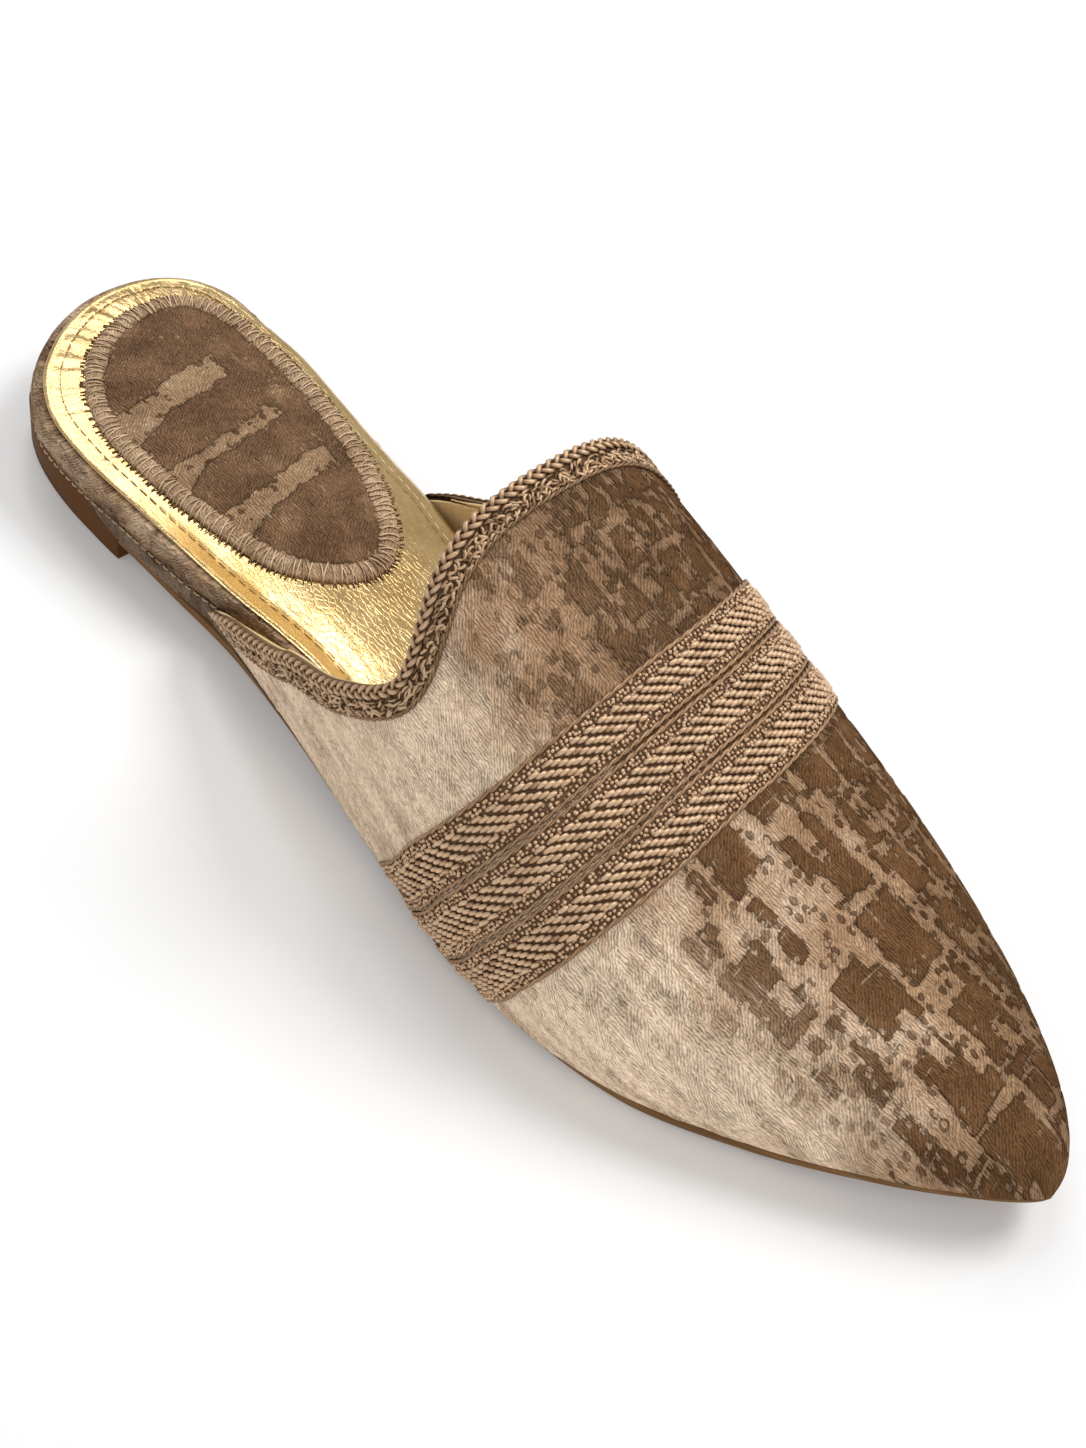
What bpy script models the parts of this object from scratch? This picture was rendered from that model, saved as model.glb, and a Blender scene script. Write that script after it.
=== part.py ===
"""A pointed backless slipper for the right foot, modelled in millimetres and scaled to metres.

X runs from heel to toe, Y to the medial side and Z up; the sole stands on z = 0.
"""

import bmesh
import bpy
import numpy as np

# Driving sizes, millimetres.
WALL = 1.6           # upper: velvet and lining together
GAP = 0.3            # clearance between neighbouring pieces
OUTSOLE = 2.0        # outsole thickness, pared down towards the toe tip
TOE_PARE = 0.8
SOCK = 1.2           # insole sheet thickness
MIDSOLE_INSET = 0.7  # step from the upper's sole edge in to the midsole
ROLL = 2.6           # bulge of the padded footbed past the insole edge
ROLL_BACK = 0.8      # what the bulge gains behind the heel
PAD_RISE = 2.6       # crown of the heel pad
BRAID_WIDTH = 5.0    # collar braid, measured down from the topline
BRAID_THICK = 1.2
BAND_THICK = 0.8     # each of the three vamp bands
BAND_GROOVE = 0.05   # share of the band's width left open between two rows
FULLNESS = 2.4       # exponent of the upper's section; 2 is an ellipse

# The last: widest half widths, instep height, sideways shift of the ridge, tuck under in degrees.
# x, lateral, medial, instep, ridge, tuck
LAST = np.array([
    (70, 29.6, 24.8, 80.0, 3.0, 16),
    (80, 30.9, 25.4, 80.2, 3.3, 16),
    (95, 33.1, 27.3, 79.6, 3.8, 16),
    (110, 35.5, 30.6, 77.2, 4.2, 16),
    (140, 40.8, 36.3, 65.5, 4.3, 16),
    (170, 45.3, 39.0, 49.1, 3.5, 17),
    (200, 42.4, 36.8, 35.6, 2.4, 19),
    (225, 31.4, 29.9, 27.9, 1.5, 22),
    (245, 19.5, 20.4, 23.0, 1.0, 25),
    (258, 9.6, 11.6, 18.7, 0.5, 27),
    (266, 0.0, 0.0, 9.8, 0.0, 27),
])
# Outsole: half widths, height of the tread, thickness of the midsole wedge above it.
# x, lateral, medial, tread, wedge
SOLE = np.array([
    (51.5, 29.5, 25.2, 4.4, 4.4),
    (70, 29.7, 23.8, 4.2, 3.9),
    (91, 30.2, 24.6, 3.6, 3.5),
    (110, 32.6, 28.4, 2.5, 2.9),
    (130, 36.2, 32.4, 1.2, 2.0),
    (150, 39.9, 35.4, 0.3, 0.9),
    (165, 42.2, 37.0, 0.0, 0.0),
    (185, 42.2, 36.8, 0.0, 0.0),
    (205, 38.9, 34.3, 0.0, 0.0),
    (225, 29.8, 28.5, 0.8, 0.0),
    (245, 18.2, 19.2, 3.6, 0.0),
    (258, 8.9, 10.7, 6.0, 0.0),
    (266, 0.0, 0.0, 7.6, 0.0),
])
# Heel block: half widths and height. x, lateral, medial, height
HEEL = np.array([
    (0, -4.0, 4.0, 10.8),
    (3, 10.6, 17.0, 10.8),
    (9, 20.6, 23.2, 10.8),
    (16, 24.7, 25.6, 10.8),
    (25, 27.4, 26.6, 10.5),
    (34, 28.8, 26.5, 9.6),
    (42, 29.3, 25.9, 8.4),
    (51.2, 29.4, 25.3, 6.4),
])
# Insole: half widths and height of its upper face. x, lateral, medial, height
INSOLE = np.array([
    (0.9, -6.5, 6.5, 20.2),
    (3.2, 4.5, 17.6, 20.2),
    (8, 13.3, 23.2, 20.1),
    (16, 21.8, 26.4, 19.8),
    (26, 26.8, 26.3, 19.2),
    (38, 28.3, 26.1, 18.6),
    (56, 28.0, 23.9, 17.8),
    (72, 27.2, 22.1, 17.0),
    (86, 26.2, 20.9, 16.0),
    (96, 24.8, 19.9, 15.0),
    (108, 23.9, 20.6, 13.4),
    (122, 27.0, 24.5, 11.8),
    (136, 32.6, 29.2, 10.5),
    (152, 38.0, 33.2, 9.4),
    (172, 41.2, 35.6, 8.6),
    (200, 37.7, 32.4, 8.2),
    (225, 26.8, 25.4, 8.6),
    (240, 17.0, 17.0, 9.6),
    (247, 0.0, 0.0, 10.2),
])
# Heel pad on the insole: half widths. x, lateral, medial
PAD = np.array([
    (7.2, -8.0, 8.0),
    (10.5, 4.4, 18.0),
    (16, 11.8, 22.0),
    (24, 18.0, 23.6),
    (34, 21.2, 23.7),
    (52, 22.0, 22.4),
    (71, 19.9, 18.6),
    (85, 16.2, 13.2),
    (92, 10.2, 8.6),
    (96.5, 0.0, 0.0),
])
# Topline of the upper: where its edge lies for each place across the section.
# across (-1 lateral sole edge, 0 ridge, 1 medial sole edge), x
TOPLINE = np.array([
    (-1.0, 80.5), (-0.955, 87.0), (-0.905, 97.4), (-0.855, 107.9), (-0.79, 121.0),
    (-0.715, 129.6), (-0.635, 136.0), (-0.58, 138.7), (-0.53, 139.0), (-0.46, 137.4),
    (-0.36, 134.2), (-0.24, 132.3), (-0.08, 131.9), (0.08, 132.1), (0.24, 132.5),
    (0.38, 133.3), (0.47, 134.6), (0.54, 135.2), (0.60, 134.2), (0.66, 131.6),
    (0.725, 127.2), (0.79, 120.0), (0.855, 107.9), (0.905, 97.4), (0.955, 87.0), (1.0, 80.5),
])
# Vamp band: its rear and front edges. across, rear x, front x
BAND = np.array([
    (-1.0, 143.0, 176.5), (-0.75, 155.0, 186.0), (-0.5, 161.8, 190.4), (-0.25, 164.2, 192.0),
    (0.0, 163.6, 190.4), (0.25, 160.8, 187.2), (0.5, 156.0, 182.0), (0.75, 149.0, 175.0),
    (1.0, 138.0, 165.0),
])

# Colours and finishes: base colour, roughness, metallic.
FINISH = {
    "velvet": ((0.30, 0.20, 0.13), 0.85, 0.0),
    "braid": ((0.22, 0.13, 0.07), 0.55, 0.0),
    "gold_leather": ((0.72, 0.50, 0.20), 0.35, 0.7),
    "sole_leather": ((0.20, 0.10, 0.04), 0.5, 0.0),
    "heel_leather": ((0.10, 0.05, 0.03), 0.45, 0.0),
}


def curve(knots, values, at):
    """Cubic through the rows, each slope being the mean of its two neighbours' weighted by distance."""
    step = np.diff(knots)
    rise = np.diff(values) / step
    slope = np.empty(len(knots))
    slope[1:-1] = (rise[:-1] * step[1:] + rise[1:] * step[:-1]) / (step[:-1] + step[1:])
    slope[0] = 2 * rise[0] - slope[1]
    slope[-1] = 2 * rise[-1] - slope[-2]
    at = np.clip(at, knots[0], knots[-1])
    row = np.clip(np.searchsorted(knots, at) - 1, 0, len(knots) - 2)
    t = (at - knots[row]) / step[row]
    a, b = values[row], values[row + 1]
    p, q = slope[row] * step[row], slope[row + 1] * step[row]
    return a + t * (p + t * (3 * (b - a) - 2 * p - q + t * (2 * (a - b) + p + q)))


def turn(x, table, first=None):
    """Angle 0 to pi along a table's length, so that widths close in a round end."""
    start = table[0, 0] if first is None else first
    return np.arccos(np.clip(1 - 2 * (x - start) / (table[-1, 0] - start), -1, 1))


def along(table, x, column):
    """A column of a table at each x, smooth in the round-ended angle."""
    return curve(turn(table[:, 0], table), table[:, column], turn(x, table))


def stations(first, last, count):
    """Places between two ends, closer together towards both."""
    return first + (last - first) * (1 - np.cos(np.linspace(0, np.pi, count))) / 2


def thickness(x):
    """Outsole thickness."""
    return OUTSOLE - TOE_PARE * np.clip((x - 225) / 41, 0, 1)


def seat(x):
    """Top of the heel block, then of the outsole: what the midsole lies on."""
    block = np.interp(x, HEEL[:, 0], HEEL[:, 3])
    sole = np.maximum(along(SOLE, x, 3), 0) + thickness(x)
    return np.where(x < SOLE[0, 0], block, sole)


def midsole_top(x):
    """Top of the midsole wedge, which thins to nothing at the ball."""
    over_heel = np.interp(x, [0, 27, 51.5], [10.9, 10.9, 10.8])
    over_sole = seat(x) + np.maximum(along(SOLE, x, 4), 0)
    return np.where(x < SOLE[0, 0], over_heel, over_sole)


def section(x, s):
    """Outer face of the upper: a superellipse around the ridge that tucks under at the sole edge.

    With a = |s| (90 deg + tuck) and q = 2 / FULLNESS, y goes as sin(a)^q and z as cos(a)^q.
    """
    x, s = np.broadcast_arrays(np.asarray(x, float), np.asarray(s, float))
    lateral, medial, instep, ridge, tuck = (along(LAST, x, c) for c in range(1, 6))
    feather = np.minimum(midsole_top(x) + GAP, instep)
    tuck = np.radians(tuck)
    q = 2 / FULLNESS
    a = np.abs(s) * (np.pi / 2 + tuck)
    up = np.sign(np.cos(a)) * np.abs(np.cos(a)) ** q
    low = np.sin(tuck) ** q
    side = np.where(s < 0, -lateral, medial)
    y = ridge + (side - ridge) * np.abs(np.sin(a)) ** q
    z = feather + (instep - feather) * (up + low) / (1 + low)
    return np.stack([x, y, z], -1)


def slopes(x, s):
    """How the outer face moves with x and with s."""
    dx, ds = 0.05, 0.002
    with_x = (section(x + dx, s) - section(x - dx, s)) / (2 * dx)
    with_s = (section(x, np.clip(s + ds, -1, 1)) - section(x, np.clip(s - ds, -1, 1)))
    return with_x, with_s / (np.clip(s + ds, -1, 1) - np.clip(s - ds, -1, 1))[..., None]


def normal(x, s):
    """Outward unit normal of the upper's outer face."""
    with_x, with_s = slopes(*np.broadcast_arrays(np.asarray(x, float), np.asarray(s, float)))
    out = np.cross(with_x, with_s)
    length = np.linalg.norm(out, axis=-1, keepdims=True)
    return out / np.maximum(length, 1e-9)


def walk(x, s, heading, distance, steps=6):
    """Follow the outer face from (x, s) for a distance along a heading in space."""
    for _ in range(steps):
        with_x, with_s = slopes(x, s)
        e = (with_x * with_x).sum(-1)
        f = (with_x * with_s).sum(-1)
        g = (with_s * with_s).sum(-1)
        p = (with_x * heading).sum(-1)
        r = (with_s * heading).sum(-1)
        move_x = (g * p - f * r) / (e * g - f * f)
        move_s = (e * r - f * p) / (e * g - f * f)
        gone = np.linalg.norm(with_x * move_x[..., None] + with_s * move_s[..., None], axis=-1)
        x = x + move_x / gone * distance / steps
        s = np.clip(s + move_s / gone * distance / steps, -1, 1)
    return x, s


def crowd(count):
    """Places across the section from -1 to 1, closer together towards the sole edges."""
    u = np.linspace(-1, 1, count)
    return 0.5 * u + 0.5 * np.sin(np.pi * u / 2)


def paint(finish):
    """One Principled material for each finish."""
    material = bpy.data.materials.get(finish)
    if material:
        return material
    colour, rough, metal = FINISH[finish]
    material = bpy.data.materials.new(finish)
    material.use_nodes = True
    shader = material.node_tree.nodes["Principled BSDF"]
    shader.inputs["Base Color"].default_value = (*colour, 1)
    shader.inputs["Roughness"].default_value = rough
    shader.inputs["Metallic"].default_value = metal
    return material


def solid(name, points, faces, finish):
    """An object from points in millimetres, its faces turned outwards."""
    mesh = bpy.data.meshes.new(name)
    mesh.from_pydata((np.asarray(points) / 1000).tolist(), [], faces)
    shell = bmesh.new()
    shell.from_mesh(mesh)
    bmesh.ops.recalc_face_normals(shell, faces=shell.faces)
    shell.to_mesh(mesh)
    shell.free()
    mesh.materials.append(paint(finish))
    piece = bpy.data.objects.new(name, mesh)
    bpy.context.scene.collection.objects.link(piece)
    return piece


def loft(name, rings, finish):
    """A solid through closed rings of equal count, with a flat face at each end."""
    count, around = rings.shape[:2]
    index = np.arange(count * around).reshape(count, around)
    following = np.roll(index, -1, axis=1)
    quads = np.stack([index[:-1], following[:-1], following[1:], index[1:]], -1).reshape(-1, 4)
    faces = quads.tolist() + [index[0].tolist(), index[-1].tolist()]
    return solid(name, rings.reshape(-1, 3), faces, finish)


def slab(name, x, lateral, medial, low, high, finish, columns=4):
    """A loft whose rings are flat across, with upright edges."""
    v = np.linspace(0, 1, columns)
    y = -lateral[:, None] * (1 - v) + medial[:, None] * v
    low_row = np.stack(np.broadcast_arrays(x[:, None], y, low[:, None]), -1)
    high_row = np.stack(np.broadcast_arrays(x[:, None], y, high[:, None]), -1)
    return loft(name, np.concatenate([low_row, high_row[:, ::-1]], axis=1), finish)


def strip(name, rows, low, high, finish):
    """A band lying on the upper: rows of (x, s), raised from low to high along the normal."""
    base = np.stack([section(x, s) + normal(x, s) * low for x, s in rows], axis=1)
    crown = np.stack([section(x, s) + normal(x, s) * high for x, s in rows], axis=1)
    return loft(name, np.concatenate([base, crown[:, ::-1]], axis=1), finish)


def heel_block():
    x = stations(HEEL[0, 0], HEEL[-1, 0], 20)
    x[0] = 0.15
    return slab("heel", x, along(HEEL, x, 1), along(HEEL, x, 2), 0 * x, seat(x), "heel_leather")


def outsole():
    x = stations(SOLE[0, 0], SOLE[-1, 0], 44)
    x[-1] = SOLE[-1, 0] - 0.15
    top = seat(x)
    return slab("outsole", x, along(SOLE, x, 1), along(SOLE, x, 2), top - thickness(x), top, "sole_leather")


def midsole():
    x = np.concatenate([np.linspace(27, 51, 8), np.linspace(52, 150, 20)])
    under_roll = np.interp(x, [27, 34, 51, 80], [26.8, 28.2, 28.8, 29.2])
    under_arch = np.interp(x, [27, 34, 51, 80], [25.8, 25.8, 24.6, 23.9])
    lateral = np.where(x < 80, under_roll, -section(x, -1)[:, 1] - MIDSOLE_INSET)
    medial = np.where(x < 80, under_arch, section(x, 1)[:, 1] - MIDSOLE_INSET)
    return slab("midsole", x, lateral, medial, seat(x) + GAP, midsole_top(x), "velvet")


def outward(x, half):
    """Unit normal, in plan, of an edge that lies half away from the centre line at each x."""
    run, rise = np.gradient(x), np.gradient(half)
    length = np.hypot(run, rise)
    return -rise / length, run / length


def footbed():
    x = stations(INSOLE[0, 0], INSOLE[-1, 0], 36)
    x[0], x[-1] = x[0] + 0.12, x[-1] - 0.12
    lateral, medial = along(INSOLE, x, 1), along(INSOLE, x, 2)
    low = np.maximum(seat(x), midsole_top(x)) + GAP
    high = along(INSOLE, x, 3) - SOCK - GAP
    tilt = np.radians([-90, -60, -30, 0, 30, 60, 90])
    side_z = ((low + high) / 2)[:, None] + ((high - low) / 2)[:, None] * np.sin(tilt)
    bulge = ROLL * np.clip((98 - x) / 24, 0, 1) + ROLL_BACK * np.clip((16 - x) / 16, 0, 1)
    out = bulge[:, None] * np.abs(np.cos(tilt)) ** 0.7
    edges = []
    for half, sign in ((lateral, -1), (medial, 1)):
        push_x, push_y = outward(x, half)
        edge_x = x[:, None] + push_x[:, None] * out
        edge_y = sign * (half[:, None] + push_y[:, None] * out)
        edges.append(np.stack([edge_x, edge_y, side_z], -1))
    v = np.linspace(0, 1, 5)[1:-1]
    inside = -lateral[:, None] * (1 - v) + medial[:, None] * v
    over = np.stack(np.broadcast_arrays(x[:, None], inside, high[:, None]), -1)
    under = np.stack(np.broadcast_arrays(x[:, None], inside[:, ::-1], low[:, None]), -1)
    return loft("footbed", np.concatenate([edges[0], over, edges[1][:, ::-1], under], axis=1), "velvet")


def insole():
    x = stations(INSOLE[0, 0], INSOLE[-1, 0], 36)
    x[0], x[-1] = x[0] + 0.12, x[-1] - 0.12
    high = along(INSOLE, x, 3)
    return slab("insole", x, along(INSOLE, x, 1), along(INSOLE, x, 2), high - SOCK, high, "gold_leather")


def heel_pad():
    x = stations(PAD[0, 0], PAD[-1, 0], 24)
    x[0], x[-1] = x[0] + 0.1, x[-1] - 0.1
    lateral, medial = along(PAD, x, 1), along(PAD, x, 2)
    low = along(INSOLE, x, 3) + GAP
    v = np.linspace(-1, 1, 9)
    ease = np.minimum(1, np.sin(turn(x, PAD)) * 2.2)
    crown = 0.8 + (PAD_RISE - 0.8) * ease[:, None] * (1 - v ** 4)
    y = -lateral[:, None] * (1 - v) / 2 + medial[:, None] * (1 + v) / 2
    top = np.stack(np.broadcast_arrays(x[:, None], y, low[:, None] + crown), -1)
    ends = np.stack([np.stack([x, -lateral, low], -1), np.stack([x, medial, low], -1)], axis=1)
    return loft("heel_pad", np.concatenate([top, ends[:, ::-1]], axis=1), "velvet")


def upper():
    s = crowd(47)
    edge = curve(TOPLINE[:, 0], TOPLINE[:, 1], s)
    start = turn(edge, LAST, 0)
    t = np.linspace(0, 1, 27)[:-1, None]
    angle = start + (np.pi - start) * t
    x = LAST[-1, 0] * (1 - np.cos(angle)) / 2
    across = np.broadcast_to(s, x.shape)
    outside = section(x, across)
    lining = outside - normal(x, across) * WALL
    tip = np.array([LAST[-1, 0], 0, LAST[-1, 3]])
    rows, columns = x.shape
    points = np.concatenate([outside.reshape(-1, 3), lining.reshape(-1, 3), [tip, tip - (WALL, 0, 0)]])
    o = np.arange(rows * columns).reshape(rows, columns)
    i = o + rows * columns
    last = 2 * rows * columns
    faces = []
    for sheet in (o, i):
        quads = np.stack([sheet[:-1, :-1], sheet[:-1, 1:], sheet[1:, 1:], sheet[1:, :-1]], -1)
        faces += quads.reshape(-1, 4).tolist()
    faces += np.stack([o[0, :-1], o[0, 1:], i[0, 1:], i[0, :-1]], -1).tolist()
    for side in (0, -1):
        faces += np.stack([o[:-1, side], o[1:, side], i[1:, side], i[:-1, side]], -1).tolist()
        faces.append([int(o[-1, side]), last, last + 1, int(i[-1, side])])
    for sheet, pole in ((o, last), (i, last + 1)):
        faces += [[int(a), int(b), pole] for a, b in zip(sheet[-1, :-1], sheet[-1, 1:])]
    return solid("upper", points, faces, "velvet")


def collar_braid():
    s = crowd(61) * 0.985
    x = curve(TOPLINE[:, 0], TOPLINE[:, 1], s)
    path = section(x, s)
    heading = np.gradient(path, axis=0)
    heading /= np.linalg.norm(heading, axis=-1, keepdims=True)
    inward = np.cross(heading, normal(x, s))
    rows = [walk(x, s, inward, d) for d in np.linspace(0, BRAID_WIDTH, 3)]
    return strip("collar_braid", rows, GAP, GAP + BRAID_THICK, "braid")


def vamp_bands():
    s = crowd(49) * 0.985
    rear = curve(BAND[:, 0], BAND[:, 1], s)
    front = curve(BAND[:, 0], BAND[:, 2], s)
    for number in range(3):
        shares = np.linspace(number + BAND_GROOVE / 2, number + 1 - BAND_GROOVE / 2, 3) / 3
        rows = [(rear + (front - rear) * share, s) for share in shares]
        strip(f"vamp_band_{number + 1}", rows, GAP, GAP + BAND_THICK, "braid")


def main():
    for piece in list(bpy.data.objects):
        bpy.data.objects.remove(piece, do_unlink=True)
    for make in (heel_block, outsole, midsole, footbed, insole, heel_pad, upper, collar_braid, vamp_bands):
        make()
    pieces = bpy.context.scene.collection.objects
    corners = np.array([v.co for piece in pieces for v in piece.data.vertices])
    middle = (corners.min(axis=0) + corners.max(axis=0)) / 2
    for piece in pieces:
        for vertex in piece.data.vertices:
            vertex.co.x -= middle[0]
            vertex.co.y -= middle[1]


main()
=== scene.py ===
"""A pointed backless slipper in worn velvet, dressed over its solids.

Lengths are in millimetres on the last: x from the heel's back to the toe, y to the big toe's side, z up.
A mesh is written in metres, moved to the frame's own place.
"""

import math

import bmesh
import bpy
import numpy as np
from mathutils import Matrix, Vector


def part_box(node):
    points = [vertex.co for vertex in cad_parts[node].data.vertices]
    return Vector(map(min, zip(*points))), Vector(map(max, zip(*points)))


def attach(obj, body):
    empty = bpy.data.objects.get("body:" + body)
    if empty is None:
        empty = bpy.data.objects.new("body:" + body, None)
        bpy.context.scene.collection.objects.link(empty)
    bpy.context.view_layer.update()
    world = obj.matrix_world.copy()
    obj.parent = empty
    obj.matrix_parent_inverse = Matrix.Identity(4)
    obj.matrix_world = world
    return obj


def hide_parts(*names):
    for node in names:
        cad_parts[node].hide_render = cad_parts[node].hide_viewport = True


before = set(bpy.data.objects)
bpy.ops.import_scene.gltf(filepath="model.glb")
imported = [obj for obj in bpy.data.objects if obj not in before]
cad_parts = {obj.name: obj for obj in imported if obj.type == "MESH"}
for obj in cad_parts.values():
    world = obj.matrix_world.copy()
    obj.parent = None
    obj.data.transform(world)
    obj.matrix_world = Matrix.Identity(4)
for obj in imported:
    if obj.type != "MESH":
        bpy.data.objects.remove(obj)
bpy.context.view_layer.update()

# Sizes shared with the solids.
WALL = 1.6            # upper: velvet and lining together
GAP = 0.3             # clearance between neighbouring pieces
OUTSOLE = 2.0         # outsole thickness, pared down towards the toe tip
TOE_PARE = 0.8
SOCK = 1.2            # insole thickness
MIDSOLE_INSET = 0.7   # step from the upper's sole edge in to the midsole
ROLL = 2.6            # bulge of the padded footbed past the insole edge
ROLL_BACK = 0.8       # what the bulge gains behind the heel
LIP = 2.0             # how far the gold sock is turned down over the roll on the arch side
PAD_RISE = 2.6        # crown of the heel pad
FULLNESS = 2.4        # exponent of the upper's section; 2 is an ellipse

# Sizes of the trims.
VELVET = 1.0          # velvet alone; the rest of the wall is lining
PILE = 0.16           # height of standing pile over worn ground
RIB_PITCH = 0.62      # from one fine rib of the velvet to the next
COLLAR = 5.0          # braid's reach down from the topline
COLLAR_TURN = 1.9     # braid's reach over the edge
PLAIT_PITCH = 6.3     # one full run of a strand in the collar's edge plait
ROPE_PITCH = 2.9      # from one slanted rope of a band to the next
ROPE_LEAN = 7.6       # how far a rope runs along its band while crossing it
ROPE_INSET = 2.6      # from a band's edge to the end of a rope
ROPE_STROKES = 7      # turns of yarn that show along a rope
KNOT_PITCH = 0.88     # from one knot of a band's chain rows to the next
WHIP = 1.05           # from one stitch round the heel pad to the next
BORDER = 3.9          # stitched border of the heel pad
PATTERN_CHANGE = 172  # x under the bands where the toe's worn pattern takes over from the throat's
SOLE_SINK = 0.15      # how far the upper's sole edge sinks into the sole
BEAD = 0.6            # radius of the lining's rolled bead inside the collar
BEAD_START = 8        # where the bead begins, from either end of the collar
WELD = 1e-7           # points of a mesh this near each other, in metres, are one
UP = np.array([0.0, 0.0, 1.0])
# Worn bars of the heel pad. x, width, end y
PAD_BARS = np.array([(36, 6.8, 9), (53, 3.6, 11), (69, 5.4, 12)])

# The last: widest half widths, instep height, sideways shift of the ridge, tuck under in degrees.
# x, lateral, medial, instep, ridge, tuck
LAST = np.array([
    (70, 29.6, 24.8, 80.0, 3.0, 16),
    (80, 30.9, 25.4, 80.2, 3.3, 16),
    (95, 33.1, 27.3, 79.6, 3.8, 16),
    (110, 35.5, 30.6, 77.2, 4.2, 16),
    (140, 40.8, 36.3, 65.5, 4.3, 16),
    (170, 45.3, 39.0, 49.1, 3.5, 17),
    (200, 42.4, 36.8, 35.6, 2.4, 19),
    (225, 31.4, 29.9, 27.9, 1.5, 22),
    (245, 19.5, 20.4, 23.0, 1.0, 25),
    (258, 9.6, 11.6, 18.7, 0.5, 27),
    (266, 0.0, 0.0, 9.8, 0.0, 27),
])
# Outsole: half widths, height of the tread, thickness of the midsole wedge above it.
# x, lateral, medial, tread, wedge
SOLE = np.array([
    (51.5, 29.5, 25.2, 4.4, 4.4),
    (70, 29.7, 23.8, 4.2, 3.9),
    (91, 30.2, 24.6, 3.6, 3.5),
    (110, 32.6, 28.4, 2.5, 2.9),
    (130, 36.2, 32.4, 1.2, 2.0),
    (150, 39.9, 35.4, 0.3, 0.9),
    (165, 42.2, 37.0, 0.0, 0.0),
    (185, 42.2, 36.8, 0.0, 0.0),
    (205, 38.9, 34.3, 0.0, 0.0),
    (225, 29.8, 28.5, 0.8, 0.0),
    (245, 18.2, 19.2, 3.6, 0.0),
    (258, 8.9, 10.7, 6.0, 0.0),
    (266, 0.0, 0.0, 7.6, 0.0),
])
# Heel block: half widths and height. x, lateral, medial, height
HEEL = np.array([
    (0, -4.0, 4.0, 10.8),
    (3, 10.6, 17.0, 10.8),
    (9, 20.6, 23.2, 10.8),
    (16, 24.7, 25.6, 10.8),
    (25, 27.4, 26.6, 10.5),
    (34, 28.8, 26.5, 9.6),
    (42, 29.3, 25.9, 8.4),
    (51.2, 29.4, 25.3, 6.4),
])
# Insole: half widths and height of its upper face. x, lateral, medial, height
INSOLE = np.array([
    (0.9, -6.5, 6.5, 20.2),
    (3.2, 4.5, 17.6, 20.2),
    (8, 13.3, 23.2, 20.1),
    (16, 21.8, 26.4, 19.8),
    (26, 26.8, 26.3, 19.2),
    (38, 28.3, 26.1, 18.6),
    (56, 28.0, 23.9, 17.8),
    (72, 27.2, 22.1, 17.0),
    (86, 26.2, 20.9, 16.0),
    (96, 24.8, 19.9, 15.0),
    (108, 23.9, 20.6, 13.4),
    (122, 27.0, 24.5, 11.8),
    (136, 32.6, 29.2, 10.5),
    (152, 38.0, 33.2, 9.4),
    (172, 41.2, 35.6, 8.6),
    (200, 37.7, 32.4, 8.2),
    (225, 26.8, 25.4, 8.6),
    (240, 17.0, 17.0, 9.6),
    (247, 0.0, 0.0, 10.2),
])
# The gold sock itself, with its lip on the arch side.
GOLD = INSOLE.copy()
GOLD[:, 2] += np.interp(INSOLE[:, 0], [16, 38, 86, 108], [0, LIP, LIP, 0])
# Stitched edge of the heel pad on the insole, its back end just inside the solid's: half widths.
# x, lateral, medial
PAD = np.array([
    (9.2, -8.0, 8.0),
    (12.1, 4.0, 17.4),
    (17, 11.4, 21.4),
    (24.6, 17.4, 23.2),
    (34, 21.2, 23.7),
    (52, 22.0, 22.4),
    (71, 19.9, 18.6),
    (85, 16.2, 13.2),
    (92, 10.2, 8.6),
    (96.5, 0.0, 0.0),
])
# Topline of the upper: where its edge lies for each place across the section.
# across (-1 lateral sole edge, 0 ridge, 1 medial sole edge), x
TOPLINE = np.array([
    (-1.0, 80.5), (-0.955, 87.0), (-0.905, 97.4), (-0.855, 107.9), (-0.79, 121.0),
    (-0.715, 129.6), (-0.635, 136.0), (-0.58, 138.7), (-0.53, 139.0), (-0.46, 137.4),
    (-0.36, 134.2), (-0.24, 132.3), (-0.08, 131.9), (0.08, 132.1), (0.24, 132.5),
    (0.38, 133.3), (0.47, 134.6), (0.54, 135.2), (0.60, 134.2), (0.66, 131.6),
    (0.725, 127.2), (0.79, 120.0), (0.855, 107.9), (0.905, 97.4), (0.955, 87.0), (1.0, 80.5),
])
# Vamp band: its rear and front edges. across, rear x, front x
BAND = np.array([
    (-1.0, 143.0, 176.5), (-0.75, 155.0, 186.0), (-0.5, 161.8, 190.4), (-0.25, 164.2, 192.0),
    (0.0, 163.6, 190.4), (0.25, 160.8, 187.2), (0.5, 156.0, 182.0), (0.75, 149.0, 175.0),
    (1.0, 138.0, 165.0),
])

# The view: where the camera looks from, in degrees, and at which point of the last.
VIEW_AZIMUTH, VIEW_ELEVATION, VIEW_ROLL = 36.852, 48.485, 12.024
VIEW_DISTANCE = 369.6
VIEW_TARGET = np.array([146.44, -4.62, 20.0])
FOCAL_PIXELS, IMAGE_HEIGHT, SENSOR = 2020.0, 1448, 36.0


# Form of the last and of the sole, as in the solids.

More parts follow.
